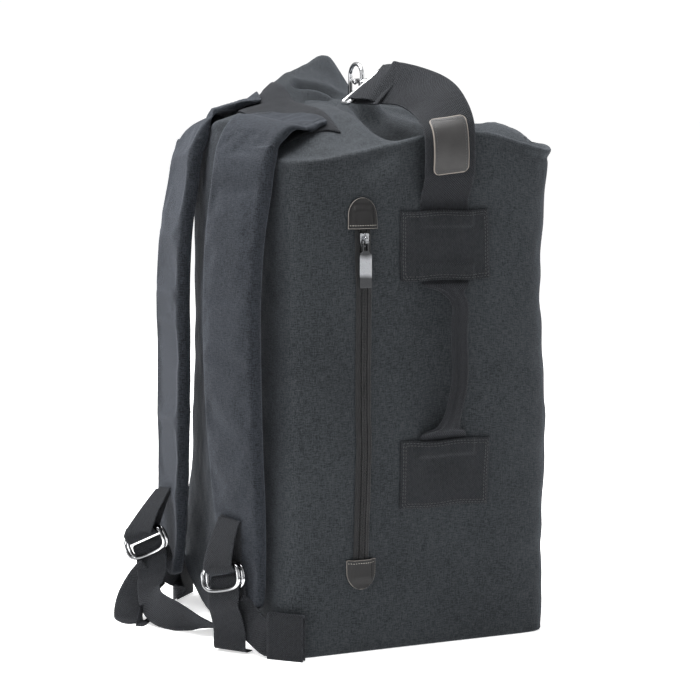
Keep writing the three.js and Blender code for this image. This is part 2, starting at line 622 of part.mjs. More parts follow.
// The grip: places between the patches as a share from its lower to its upper end, how far it stands
// off the wall as a share of its stand-off, its sideways bend, and its section.
const GRIP_ROWS = [
  { up: 0, out: 0, bend: 3, width: 1, thick: 0 },
  { up: 0.075, out: 0, bend: 3, width: 1, thick: 0 },
  { up: 0.11, out: 0.16, bend: 3, width: 0.86, thick: 0.15 },
  { up: 0.15, out: 0.5, bend: 2, width: 0.2, thick: 0.9 },
  { up: 0.25, out: 0.86, bend: 0, width: 0, thick: 1 },
  { up: 0.45, out: 1, bend: -4, width: 0, thick: 1 },
  { up: 0.65, out: 0.98, bend: -3, width: 0, thick: 1 },
  { up: 0.8, out: 0.8, bend: -6, width: 0, thick: 1 },
  { up: 0.87, out: 0.45, bend: -2, width: 0.25, thick: 0.85 },
  { up: 0.9, out: 0.16, bend: 0, width: 0.9, thick: 0.15 },
  { up: 0.925, out: 0, bend: 0, width: 1, thick: 0 },
  { up: 1, out: 0, bend: 0, width: 1, thick: 0 },
];
const ROUND_BAR = [
  [-0.5, -0.25], [-0.5, 0.25], [-0.35, 0.5], [0, 0.56], [0.35, 0.5],
  [0.5, 0.25], [0.5, -0.25], [0.35, -0.5], [0, -0.5], [-0.35, -0.5],
];
function carryHandle() {
  const low = PATCH.bottom * BAG.height + PATCH.height / 2 - PATCH.tuck;
  const high = PATCH.top * BAG.height - PATCH.height / 2 + PATCH.tuck;
  const rows = GRIP_ROWS.map((row, k) => ({ ...row, i: k }));
  const flat = BROAD.thick;
  return loft(
    steps(0, rows.length - 1, 24).map((i) => {
      const read = (name) => column(rows, "i", name, i);
      const [y, z] = [PATCH.y * HALF.y + read("bend"), low + (high - low) * read("up")];
      const width = GRIP.width + (GRIP.endWidth - GRIP.width) * clamp01(read("width"));
      const thick = flat + (GRIP.thick - flat) * clamp01(read("thick"));
      const out = CLEAR + flat / 2 + (GRIP.standOff - CLEAR - flat / 2) * clamp01(read("out"));
      const square = 1 - clamp01(read("thick"));
      return ROUND_BAR.map(([u, h]) => {
        const level = Math.sign(h) * Math.min(Math.abs(h) * (1 + square), 0.5);
        const place = onSide(y + u * width, z, 0);
        const middle = onSide(y, z, 0);
        const wall = place.x * square + middle.x * (1 - square);
        return vec(wall - out - level * thick, y + u * width, z);
      });
    }),
  );
}
add("carry_handle", carryHandle(), WEBBING);

// Snap hook: the bar that carries the sling, and the frame of the hook, from the bar to the staple.
const stapleAt = vec(STAPLE.x * HALF.x, STAPLE.y * HALF.y, 0);
stapleAt.z = Math.max(
  ...[-0.5, 0, 0.5].flatMap((u) =>
    [-0.5, 0, 0.5].map((v) => topZ(stapleAt.x + u * EYELET.length, stapleAt.y + v * EYELET.width)),
  ),
) + CLEAR;
const nearLeg = stapleAt.clone().add(vec(-(STAPLE.width - STAPLE.wire) / 2, 0, 17));
const bar = vec(-0.349 * HALF.x, 0.066 * HALF.y, 1.126 * BAG.height);
const barW = vec(0, 0.795, -0.606);
const barUp = vec(0, 0.606, 0.795);

// Sling strap: from under the top patch over the crease to the bar of the hook's loop.
const SLING = [
  { x: -1.116, y: -0.169, z: 0.945, swing: 90, rise: 0 },
  { x: -1.165, y: -0.15, z: 1.0, swing: 90, rise: -4 },
  { x: -1.13, y: -0.15, z: 1.045, swing: 90, rise: -15 },
  { x: -0.98, y: -0.16, z: 1.082, swing: 90, rise: -28 },
  { x: -0.78, y: -0.165, z: 1.107, swing: 90, rise: -38 },
  { x: -0.6, y: -0.1, z: 1.123, swing: 91, rise: -38 },
  { x: -0.46, y: 0.03, z: 1.132, swing: 91, rise: -37.3 },
];
const patchTopEdge = PATCH.top * BAG.height + PATCH.height / 2;
const slingFoot = [PATCH.tuck, 0, -8].map((below) => ({
  p: onSide(PATCH.y * HALF.y, patchTopEdge - below, CLEAR + BROAD.thick / 2),
  w: vec(0, 1, 0),
}));
const barRadius = SNAP.wire / 2 + CLEAR + BROAD.thick / 2;
const slingTurn = turnRound(bar, barW, barUp, vec(1, 0, 0), barRadius);
const slingBack = [10, 26].map((back) => ({
  p: bar.clone().addScaledVector(barUp, -barRadius).add(vec(-back, -back * 0.35, 0)),
  w: barW,
}));
const slingStops = [...slingFoot, ...route(SLING, 18), ...slingTurn, ...slingBack];
add("sling_strap", ribbon(slingStops, BROAD.width, BROAD.thick, 3), WEBBING);

// The blank leather tag is sewn on the outside of the sling, where it comes over the crease.
function slingTag() {
  const arch = slingStops.slice(slingFoot.length, slingFoot.length + 19);
  const at = (share) => {
    const place = share * (arch.length - 1);
    const k = Math.min(arch.length - 2, Math.floor(place));
    return between(arch[k], arch[k + 1], place - k);
  };
  return slab(steps(-0.5, 0.5, 2), steps(0, 1, 8), (u, v, layerAt) => {
    const share = TAG.from + (TAG.to - TAG.from) * v;
    const here = at(share);
    const along = at(share + 0.02).p.clone().sub(at(Math.max(0, share - 0.02)).p).normalize();
    const out = along.clone().cross(here.w).normalize();
    if (out.x > 0) out.negate();
    const lift = BROAD.thick / 2 + 1.8 * CLEAR + layerAt * TAG.thick;
    return here.p.clone().addScaledVector(here.w, u * TAG.width).addScaledVector(out, lift);
  });
}
add("sling_tag", slingTag(), LEATHER);

// Rectangular loop of the snap hook, round the sling's bar.
const hookOut = vec(1, 0, 0);
const loopCorner = 3;
function loopWire() {
  const [w, d] = [SNAP.loopWidth / 2, SNAP.loopDepth];
  const corners = [[-w, 0], [w, 0], [w, d], [-w, d]];
  const path = new THREE.Path();
  corners.forEach(([u, v], k) => {
    const [pu, pv] = corners[(k + 3) % 4];
    const [nu, nv] = corners[(k + 1) % 4];
    const [a, b] = [Math.hypot(pu - u, pv - v), Math.hypot(nu - u, nv - v)];
    const start = [u + ((pu - u) * loopCorner) / a, v + ((pv - v) * loopCorner) / a];
    const end = [u + ((nu - u) * loopCorner) / b, v + ((nv - v) * loopCorner) / b];
    if (k) path.lineTo(...start);
    else path.moveTo(...start);
    path.quadraticCurveTo(u, v, ...end);
  });
  const points = path.getPoints(2).map((q) =>
    bar.clone().addScaledVector(barW, q.x).addScaledVector(hookOut, q.y),
  );
  return wire(points, SNAP.wire, 8, true);
}
add("hook_loop", loopWire(), STEEL);

// Hook frame: along runs from the loop to the staple's near leg, and across is level.
const swivel = bar.clone().addScaledVector(hookOut, SNAP.loopDepth + SNAP.wire / 2 + 2 * CLEAR);
const target = nearLeg;
const reach = target.distanceTo(swivel);
const hookAlong = target.clone().sub(swivel).normalize();
const hookAcross = vec(0, 0, 1).cross(hookAlong).negate().normalize();
const hookAxis = hookAlong.clone().cross(hookAcross).normalize();
const inHook = (along, across, up = 0) =>
  swivel.clone().addScaledVector(hookAlong, along).addScaledVector(hookAcross, across).addScaledVector(hookAxis, up);
const eyeHalf = SNAP.eye / 2;
const hingeAt = SNAP.barrel + 4;
const gateEnd = reach - 5;

// A body of revolution along the hook, then the curved bar of the hook grown from its end.
function hookBody() {
  const nose = reach + eyeHalf + SNAP.hookWire / 2;
  const ring = (centre, along, size) => {
    const e = hookAxis;
    const f = along.clone().cross(e).normalize();
    return steps(0, 2 * Math.PI, 8).slice(0, 8).map((t) =>
      centre.clone().addScaledVector(e, size * Math.cos(t)).addScaledVector(f, size * Math.sin(t)),
    );
  };
  const radius = SNAP.barrel / 2;
  const stops = [
    { along: 0, across: 0, size: radius * 0.45 },
    { along: 2.4, across: 0, size: radius },
    { along: SNAP.barrel - 3, across: 0, size: radius },
    { along: SNAP.barrel - 1.5, across: 0.4, size: radius * 0.7 },
    { along: SNAP.barrel + 2, across: 1.5, size: radius * 1.1 },
    { along: SNAP.barrel + 6, across: eyeHalf * 0.72, size: SNAP.hookWire / 2 },
    { along: reach - 6, across: eyeHalf, size: SNAP.hookWire / 2 },
  ];
  const curve = steps(0, Math.PI, 8).map((t) => ({
    along: nose - eyeHalf - SNAP.hookWire / 2 + eyeHalf * Math.sin(t),
    across: eyeHalf * Math.cos(t),
    size: SNAP.hookWire / 2,
  }));
  const tip = { along: gateEnd + CLEAR, across: -eyeHalf, size: SNAP.hookWire / 2 * 0.9 };
  const all = [...stops, ...curve, tip];
  const places = all.map((stop) => inHook(stop.along, stop.across));
  return loft(
    all.map((stop, j) => {
      const along = places[Math.min(all.length - 1, j + 1)].clone().sub(places[Math.max(0, j - 1)]).normalize();
      return ring(places[j], along, stop.size);
    }),
  );
}
add("hook_body", hookBody(), STEEL);

// The sprung gate closes the hook on its open side.
const gateFrom = inHook(hingeAt, -eyeHalf);
const gateTo = inHook(gateEnd, -eyeHalf);
add("hook_gate", wire([gateFrom, gateFrom.clone().lerp(gateTo, 0.5), gateTo], SNAP.gateWire, 8), STEEL);

// Staple: two legs and a round top on a small plate.
function stapleBody() {
  const radius = (STAPLE.width - STAPLE.wire) / 2;
  const rise = STAPLE.height - STAPLE.wire / 2 - radius * 0.8;
  const legs = [0, rise * 0.5, rise].map((z) => [-radius, z]);
  const crown = steps(0, Math.PI, 8).slice(1, 8).map((t) => [-radius * Math.cos(t), rise + radius * 0.8 * Math.sin(t)]);
  const points = [...legs, ...crown, ...legs.reverse().map(([x, z]) => [-x, z])];
  return wire(points.map(([x, z]) => stapleAt.clone().add(vec(x, 0, z))), STAPLE.wire, 8);
}
add("closure_staple", stapleBody(), STEEL);

// Oval eyelet of the folded mouth, pressed round the foot of the staple.
function eyeletBody() {
  const [long, short] = [EYELET.length / 2, EYELET.width / 2];
  const profile = [[EYELET.rim, 0], [0, 0], [0, 0.5], [EYELET.rim / 2, 1], [EYELET.rim, 0.6]];
  return loft(
    steps(0, 2 * Math.PI, 24).slice(0, 24).map((t) =>
      profile.map(([inward, h]) =>
        vec(
          stapleAt.x + (long - inward) * Math.cos(t),
          stapleAt.y + (short - inward) * Math.sin(t),
          stapleAt.z + h * EYELET.thick,
        ),
      ),
    ),
    true,
  );
}
add("closure_eyelet", eyeletBody(), STEEL);

// Zip: tape, row of coils, slider and pull on the side of the bag.
const zipY = ZIP.y * HALF.y;
const [zipLow, zipHigh] = [ZIP.bottom * BAG.height, ZIP.top * BAG.height];
const upright = (half, from, to, rows, lift, thick) =>
  slab(steps(-half, half, 1), steps(from, to, rows), (u, z, layerAt) => onSide(zipY + u, z, lift + layerAt * thick));
add("zip_tape", upright(ZIP.tape / 2, zipLow, zipHigh, 24, CLEAR, ZIP.tapeThick), WEBBING);
const coilLift = CLEAR + ZIP.tapeThick + CLEAR;
const tabInset = TAB.height + 1;
const coilEnds = [zipLow + tabInset * 0.2, zipHigh - tabInset * 0.2];
add("zip_coil", upright(ZIP.coil / 2, ...coilEnds, 22, coilLift, ZIP.coilThick), COIL);

// Leather ends: a dome over the top of the zip and a shield at its foot.
function leatherTab(z, turn) {
  const rows = steps(0, 1, 7);
  const lift = coilLift + ZIP.coilThick + CLEAR;
  return slab(steps(-1, 1, 6), rows, (u, v, layerAt) => {
    const round = clamp01((v - 0.42) / 0.58);
    const half = (TAB.width / 2) * Math.max(0.16, Math.sqrt(1 - round ** 2)) * (1 - 0.06 * v);
    const y = zipY + u * half;
    const ease = clamp01((ZIP.tape / 2 + 5 - Math.abs(u * half)) / 5);
    const over = CLEAR + (lift - CLEAR) * ease * (1 - smooth((v - 0.55) / 0.3));
    return onSide(y, z + turn * v * TAB.height, over + layerAt * TAB.thick);
  });
}
const topTabZ = zipHigh - TAB.height * 0.45;
const bottomTabZ = zipLow + TAB.height * 0.45;
add("zip_tab_top", leatherTab(topTabZ, 1), LEATHER);
add("zip_tab_bottom", leatherTab(bottomTabZ, -1), LEATHER);

const box = (width, height, thick, y, z, face) => {
  const shape = new THREE.BoxGeometry(thick, width, height);
  return shape.translate(face - thick / 2, y, z);
};
const sliderZ = SLIDER.z * BAG.height;
const sliderFace = Math.min(...[-0.5, 0, 0.5].map((k) => sideX(zipY, sliderZ + k * SLIDER.height))) - coilLift -
  ZIP.coilThick - CLEAR;
// The slider's body, and the bridge that the pull hangs on, as one outline seen from the side.
function sliderBody() {
  const [tall, deep] = [SLIDER.height / 2, SLIDER.thick];
  const arch = deep + 4;
  const shape = new THREE.Shape();
  shape.moveTo(0, -tall);
  for (const [out, up] of [[deep, -tall], [deep, -tall + 2], [arch, -tall + 3.5], [arch, tall - 3.5], [deep, tall - 2], [deep, tall], [0, tall]]) {
    shape.lineTo(out, up);
  }
  const hole = new THREE.Path();
  hole.moveTo(deep, -2.6);
  for (const [out, up] of [[deep, 2.6], [arch - 1.2, 2.6], [arch - 1.2, -2.6]]) hole.lineTo(out, up);
  shape.holes.push(hole);
  const solid = new THREE.ExtrudeGeometry(shape, { depth: SLIDER.bridge, bevelEnabled: false });
  return solid
    .translate(0, 0, -SLIDER.bridge / 2)
    .rotateX(Math.PI / 2)
    .rotateZ(Math.PI)
    .translate(sliderFace, zipY, sliderZ);
}
const slider = add("zip_slider", sliderBody(), GUNMETAL);

// The pull: a wire eye through the bridge, and a flat plate that hangs from it.
const hinge = vec(sliderFace - SLIDER.thick - 1.4, zipY, sliderZ - 1.2);
function pullBody() {
  const half = PULL.width / 2;
  const neck = PULL.eye;
  const eyeHalfWidth = SLIDER.bridge / 2 + CLEAR + PULL.wire;
  const shape = new THREE.Shape();
  const outline = [
    [-eyeHalfWidth, 0.8], [-eyeHalfWidth, -neck], [-half, -neck - 2], [-half, -neck - PULL.length],
    [half, -neck - PULL.length], [half, -neck - 2], [eyeHalfWidth, -neck], [eyeHalfWidth, 0.8],
  ];
  outline.forEach(([u, v], k) => (k ? shape.lineTo(u, v) : shape.moveTo(u, v)));
  const inner = new THREE.Path();
  const open = SLIDER.bridge / 2 + CLEAR;
  [[-open, -0.5], [open, -0.5], [open, -neck + 1], [-open, -neck + 1]].forEach(([u, v], k) =>
    k ? inner.lineTo(u, v) : inner.moveTo(u, v),
  );
  shape.holes.push(inner);
  const solid = new THREE.ExtrudeGeometry(shape, { depth: PULL.thick, bevelEnabled: false });
  return solid
    .translate(0, 0, -PULL.thick / 2)
    .rotateX(Math.PI / 2)
    .rotateZ(Math.PI / 2)
    .translate(hinge.x, hinge.y, hinge.z);
}
add("zip_pull", pullBody(), GUNMETAL);

export default group;
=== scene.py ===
"""A canvas bucket rucksack with padded straps, a side zip and an over-the-top sling.

Lengths are in millimetres until a piece is made; the bag stands on z = 0 with its straps towards +Y.
"""
import math

import bmesh
import bpy
import numpy as np
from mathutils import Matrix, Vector


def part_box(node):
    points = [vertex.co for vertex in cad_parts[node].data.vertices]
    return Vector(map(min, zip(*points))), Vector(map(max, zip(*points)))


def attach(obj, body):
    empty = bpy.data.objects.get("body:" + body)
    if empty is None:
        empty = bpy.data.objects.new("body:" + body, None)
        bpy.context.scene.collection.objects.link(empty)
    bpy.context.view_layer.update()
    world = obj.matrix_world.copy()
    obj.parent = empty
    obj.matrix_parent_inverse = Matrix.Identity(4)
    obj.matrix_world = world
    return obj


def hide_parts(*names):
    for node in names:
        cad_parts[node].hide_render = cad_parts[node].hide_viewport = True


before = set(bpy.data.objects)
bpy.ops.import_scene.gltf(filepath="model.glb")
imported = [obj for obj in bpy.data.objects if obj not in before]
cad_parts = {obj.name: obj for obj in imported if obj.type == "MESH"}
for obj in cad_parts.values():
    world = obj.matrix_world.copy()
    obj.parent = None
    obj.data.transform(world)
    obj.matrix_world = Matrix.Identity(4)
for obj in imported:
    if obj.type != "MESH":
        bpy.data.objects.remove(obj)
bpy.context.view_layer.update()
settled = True

# Camera, light and floor. The bag was photographed near the height of its middle, with a long lens,
# on white paper, under one large soft light above and others from both sides.
camera = bpy.data.objects.new("camera", bpy.data.cameras.new("camera"))
bpy.context.scene.collection.objects.link(camera)
bpy.context.scene.camera = camera
camera.data.lens = 108.8
camera.data.sensor_width = 36
camera.data.clip_start = 0.1
camera.location = (-1.889, 0.841, 0.520)
camera.rotation_mode = "QUATERNION"
camera.rotation_quaternion = Vector((0.9083, -0.4001, -0.1222)).to_track_quat("-Z", "Y")

world = bpy.data.worlds.new("studio")
bpy.context.scene.world = world
world.use_nodes = True
sky = world.node_tree
# The camera sees plain white paper; the bag is lit more softly, and from above more than from below.
seen = sky.nodes.new("ShaderNodeLightPath")
view = sky.nodes.new("ShaderNodeTexCoord")
split = sky.nodes.new("ShaderNodeSeparateXYZ")
ramp = sky.nodes.new("ShaderNodeMapRange")
for name, value in (("From Min", -0.1), ("From Max", 0.9), ("To Min", 0.1), ("To Max", 0.6)):
    ramp.inputs[name].default_value = value
mix = sky.nodes.new("ShaderNodeMix")
mix.data_type = "FLOAT"
mix.inputs[3].default_value = 1.04
sky.links.new(view.outputs["Generated"], split.inputs[0])
sky.links.new(split.outputs["Z"], ramp.inputs["Value"])
sky.links.new(seen.outputs["Is Camera Ray"], mix.inputs[0])
sky.links.new(ramp.outputs["Result"], mix.inputs[2])
sky.nodes["Background"].inputs["Color"].default_value = (1, 1, 1, 1)
sky.links.new(mix.outputs[0], sky.nodes["Background"].inputs["Strength"])
bpy.context.scene.view_settings.view_transform = "Standard"


def softbox(name, place, aim, size, power):
    light = bpy.data.lights.new(name, "AREA")
    light.shape = "RECTANGLE"
    light.size, light.size_y = size
    light.energy = power
    lamp = bpy.data.objects.new(name, light)
    bpy.context.scene.collection.objects.link(lamp)
    lamp.location = place
    lamp.rotation_mode = "QUATERNION"
    lamp.rotation_quaternion = (Vector(aim) - Vector(place)).to_track_quat("-Z", "Y")


softbox("light_above", (0.15, 0.35, 2.1), (0, 0, 0.3), (1.6, 1.6), 100)
softbox("light_left", (-0.7, 2.3, 1.1), (0, 0, 0.3), (1.2, 1.6), 8)
softbox("light_right", (-1.6, -1.9, 1.2), (0, 0, 0.25), (1.2, 1.4), 9)

paper = bpy.data.meshes.new("paper")
paper.from_pydata([(-30, -30, 0), (30, -30, 0), (30, 30, 0), (-30, 30, 0)], [], [(0, 1, 2, 3)])
floor = bpy.data.objects.new("paper_floor", paper)
bpy.context.scene.collection.objects.link(floor)
floor_finish = bpy.data.materials.new("white_paper")
floor_finish.use_nodes = True
floor_finish.node_tree.nodes["Principled BSDF"].inputs["Base Color"].default_value = (0.93, 0.93, 0.93, 1)
floor_finish.node_tree.nodes["Principled BSDF"].inputs["Roughness"].default_value = 0.9
floor_finish.node_tree.nodes["Principled BSDF"].inputs["Emission Color"].default_value = (1, 1, 1, 1)
floor_finish.node_tree.nodes["Principled BSDF"].inputs["Emission Strength"].default_value = 0.58
paper.materials.append(floor_finish)

# The bag itself: one tall sack of washed charcoal canvas with a square base. Its mouth is drawn
# together, folded over and pressed flat, so the top rises in soft folds to a peak on the far side.
BAG = dict(width=275, depth=272, height=466, wall=2, base_round=3.5)
MOUTH = dict(x=0.29, y=0.13, width=3, length=58, height=1.095)
STAPLE = dict(x=0.073, y=-0.015, width=32, height=36, wire=4)
EYELET = dict(length=44, width=25, rim=4.5, thick=1.8)
HALF_X, HALF_Y = BAG["width"] / 2, BAG["depth"] / 2

# Wall sections, by share of the crease height.
WALL = [
    dict(up=0, width=0.99, depth=1.01, shift=-0.02, squareness=18),
    dict(up=0.13, width=1.015, depth=1.03, shift=-0.03, squareness=10),
    dict(up=0.4, width=1.055, depth=1.045, shift=-0.05, squareness=7),
    dict(up=0.73, width=1.05, depth=1.022, shift=-0.038, squareness=7),
    dict(up=0.92, width=1.03, depth=1.03, shift=-0.05, squareness=8),
    dict(up=1, width=1.015, depth=1.04, shift=-0.07, squareness=9),
]
# Height of the top crease round the bag. Angle 0 is +X and 90 is +Y.
CREASE = [
    dict(angle=0, height=1.03),
    dict(angle=45, height=0.985),
    dict(angle=60, height=0.997),
    dict(angle=74, height=1.042),
    dict(angle=90, height=1.056),
    dict(angle=106, height=1.034),
    dict(angle=120, height=0.997),
    dict(angle=135, height=0.98),
    dict(angle=165, height=1.01),
    dict(angle=185, height=1.033),
    dict(angle=205, height=1.028),
    dict(angle=225, height=0.998),
    dict(angle=270, height=1.045),
    dict(angle=315, height=1.0),
    dict(angle=360, height=1.03),
]
# Folds of the top, from the crease (0) to the mouth (1).
FOLDS = [
    dict(name="near pleat", angle=150, at=0.42, lift=0.018, fan=12, reach=0.34),
    dict(name="hollow under the sling", angle=182, at=0.4, lift=-0.05, fan=14, reach=0.26),
    dict(name="front hollow", angle=232, at=0.24, lift=-0.022, fan=30, reach=0.16),
    dict(name="front pleat", angle=262, at=0.55, lift=0.02, fan=14, reach=0.3),
    dict(name="far hollow", angle=318, at=0.35, lift=-0.03, fan=22, reach=0.24),
]
# Narrow folds that only the cloth shows.
CREASES = [
    dict(name="lip of the fold", angle=150, at=0.93, lift=0.02, fan=42, reach=0.03),
    dict(name="lip hollow", angle=150, at=0.86, lift=-0.024, fan=42, reach=0.035),
    dict(name="pleat by the band", angle=160, at=0.3, lift=0.014, fan=5, reach=0.22),
    dict(name="groove by the band", angle=151, at=0.26, lift=-0.014, fan=4, reach=0.2),
    dict(name="second pleat", angle=172, at=0.66, lift=0.012, fan=5, reach=0.18),
    dict(name="groove at the staple", angle=120, at=0.8, lift=-0.014, fan=40, reach=0.035),
    dict(name="far pleat", angle=300, at=0.6, lift=0.014, fan=7, reach=0.24),
    dict(name="far groove", angle=286, at=0.55, lift=-0.014, fan=6, reach=0.22),
    dict(name="front pleat edge", angle=240, at=0.6, lift=0.012, fan=6, reach=0.2),
]
DENTS = [
    dict(name="rounded far corner", angle=45, up=0, depth=0.045, fan=12, reach=0.04),
    dict(name="full far corner", angle=45, up=0.16, depth=-0.045, fan=12, reach=0.1),
    dict(name="full back", angle=76, up=0.62, depth=-0.046, fan=14, reach=0.42),
    dict(name="nose fold", angle=160, up=0.985, depth=0.03, fan=8, reach=0.035),
    dict(name="front sag", angle=262, up=0.74, depth=0.02, fan=26, reach=0.16),
    dict(name="side sag", angle=186, up=0.93, depth=0.012, fan=14, reach=0.05),
]
# The peak's crest runs straight from place to place, and both its faces fall away over the spread.
CREST = [
    dict(x=0.3, y=0.75, lift=0),
    dict(x=0.51, y=0.335, lift=0.098),
    dict(x=0.72, y=-0.08, lift=0.15),
    dict(x=0.6, y=-0.5, lift=0),
]
CREST_SPREAD = 0.42


def smooth(v):
    v = np.clip(v, 0, 1)
    return v * v * (3 - 2 * v)


def column(rows, along, name, at):
    """Reads one column of a table between its rows, along a smooth curve."""
    x = np.array([row[along] for row in rows], float)
    y = np.array([row[name] for row in rows], float)
    lower = np.maximum(np.arange(len(x)) - 1, 0)
    upper = np.minimum(np.arange(len(x)) + 1, len(x) - 1)
    slope = (y[upper] - y[lower]) / (x[upper] - x[lower])
    at = np.asarray(at, float)
    i = np.clip(np.searchsorted(x, at, "right") - 1, 0, len(x) - 2)
    span = x[i + 1] - x[i]
    t = np.clip((at - x[i]) / span, 0, 1)
    return (
        y[i] * (1 + 2 * t) * (1 - t) ** 2
        + slope[i] * span * t * (1 - t) ** 2
        + y[i + 1] * t * t * (3 - 2 * t)
        + slope[i + 1] * span * t * t * (t - 1)
    )


def turn_between(a, b):
    return np.abs(((a - b + 540) % 360) - 180)


def spread(row, angle, name, at):
    turned = turn_between(angle, row["angle"]) / row["fan"]
    return np.exp(-(turned**2) - ((at - row[name]) / row["reach"]) ** 2)


def wall_point(angle, up):
    angle, up = np.broadcast_arrays(np.asarray(angle, float), np.asarray(up, float))
    c, s = np.cos(np.radians(angle)), np.sin(np.radians(angle))
    a = HALF_X * column(WALL, "up", "width", up)
    b = HALF_Y * column(WALL, "up", "depth", up)
    n = column(WALL, "up", "squareness", up)
    radius = 1 / (np.abs(c / a) ** n + np.abs(s / b) ** n) ** (1 / n)
    radius = radius - sum(row["depth"] * BAG["width"] * spread(row, angle, "up", up) for row in DENTS)
    height = up * BAG["height"] * column(CREASE, "angle", "height", angle)
    return np.stack([radius * c, radius * s + HALF_Y * column(WALL, "up", "shift", up), height], -1)


def crest_lift(x, y):
    most = np.zeros_like(x)
    for a, b in zip(CREST, CREST[1:]):
        u, v = (b["x"] - a["x"]) * HALF_X, (b["y"] - a["y"]) * HALF_Y
        t = np.clip(((x - a["x"] * HALF_X) * u + (y - a["y"] * HALF_Y) * v) / (u * u + v * v), 0, 1)
        off = np.hypot(x - a["x"] * HALF_X - t * u, y - a["y"] * HALF_Y - t * v) / (CREST_SPREAD * HALF_X)
        most = np.maximum(most, (a["lift"] + (b["lift"] - a["lift"]) * t) * np.maximum(0, 1 - off) ** 1.15)
    return most * BAG["height"]


def top_point(angle, at, folds=FOLDS + CREASES):
    angle, at = np.broadcast_arrays(np.asarray(angle, float), np.asarray(at, float))
    c, s = np.cos(np.radians(angle)), np.sin(np.radians(angle))
    edge = wall_point(angle, 1.0)
    mouth_x = HALF_X * MOUTH["x"] + MOUTH["width"] / 2 * c
    mouth_y = HALF_Y * MOUTH["y"] + MOUTH["length"] / 2 * s
    mouth_z = BAG["height"] * (MOUTH["height"] - 0.004 * c)
    back = smooth(1.25 - turn_between(angle, 108) / 80)
    rise = back * (1 - (1 - at) ** 1.6) + (1 - back) * at**1.5
    fade = smooth(at / 0.12) * smooth((1 - at) / 0.1)
    fold = sum(row["lift"] * BAG["height"] * spread(row, angle, "at", at) for row in folds)
    x = edge[..., 0] + (mouth_x - edge[..., 0]) * at
    y = edge[..., 1] + (mouth_y - edge[..., 1]) * at
    free = edge[..., 2] + (mouth_z - edge[..., 2]) * rise + (fold + crest_lift(x, y)) * fade
    off_x, off_y = x - STAPLE["x"] * HALF_X, y - STAPLE["y"] * HALF_Y
    off = np.hypot(off_x / EYELET["length"], off_y / EYELET["width"])
    flat = smooth((1 - off) / 0.35)
    return np.stack([x, y, free + (MOUTH["height"] * BAG["height"] - free) * flat], -1)


def rumple(points, seed, sizes=((95, 1.5), (38, 0.55), (17, 0.22))):
    """A soft unevenness over any surface, made of waves in fixed directions."""
    random = np.random.default_rng(seed)
    total = np.zeros(points.shape[:-1])
    for wavelength, height in sizes:
        for _ in range(7):
            direction = random.normal(size=3)
            direction *= 2 * math.pi / (wavelength * random.uniform(0.8, 1.5)) / np.linalg.norm(direction)
            total += height / 2.4 * np.sin(points @ direction + random.uniform(0, 6.28))
    return total


def normals_of(grid, wrap):
    """Outward directions of a grid of points whose second side runs round the piece."""
    around = np.roll(grid, -1, 1) - np.roll(grid, 1, 1) if wrap else np.gradient(grid, axis=1)
    along = np.gradient(grid, axis=0)
    out = np.cross(around, along)
    return out / np.maximum(np.linalg.norm(out, axis=-1, keepdims=True), 1e-9)


def make_piece(name, points, faces, uvs=None, marks=None, shade_smooth=True):
    """A mesh object from points in millimetres, with one UV place and one mark a point."""
    mesh = bpy.data.meshes.new(name)
    mesh.from_pydata((np.asarray(points, float) / 1000).tolist(), [], faces)
    if uvs is not None:
        layer = mesh.uv_layers.new(name="UVMap")
        corners = np.array([loop.vertex_index for loop in mesh.loops])
        layer.data.foreach_set("uv", (np.asarray(uvs, float)[corners] / 1000).astype(np.float32).ravel())
    for mark, values in (marks or {}).items():
        written = mesh.attributes.new(mark, "FLOAT", "POINT")
        written.data.foreach_set("value", np.asarray(values, np.float32).ravel())
    mesh.validate()
    mesh.polygons.foreach_set("use_smooth", [shade_smooth] * len(mesh.polygons))
    piece = bpy.data.objects.new(name, mesh)
    bpy.context.scene.collection.objects.link(piece)
    return piece


def point_outwards(piece):
    work = bmesh.new()
    work.from_mesh(piece.data)
    bmesh.ops.recalc_face_normals(work, faces=work.faces)
    work.to_mesh(piece.data)
    work.free()
    return piece


def loft(name, rings, uvs=None, marks=None, closed=False):
    """Joins rings of points into a closed skin: the ends are capped, or the last ring meets the first."""
    rings = np.asarray(rings, float)
    count, around = rings.shape[:2]
    points = rings.reshape(-1, 3)
    j, i = np.meshgrid(np.arange(count if closed else count - 1), np.arange(around), indexing="ij")
    following = (j + 1) % count
    a, b = j * around + i, j * around + (i + 1) % around
    c, d = following * around + (i + 1) % around, following * around + i
    faces = np.stack([a, b, c, d], -1).reshape(-1, 4).tolist()
    if not closed:
        faces.append(list(range(around - 1, -1, -1)))
        faces.append(list(range((count - 1) * around, count * around)))
    flat_uvs = None if uvs is None else np.asarray(uvs, float).reshape(-1, 2)
    flat_marks = {mark: np.asarray(values).reshape(-1) for mark, values in (marks or {}).items()}
    return point_outwards(make_piece(name, points, faces, flat_uvs, flat_marks))


def lengths(points):
    """Distance along a row of points."""
    return np.concatenate([[0], np.cumsum(np.linalg.norm(np.diff(points, axis=0), axis=1))])


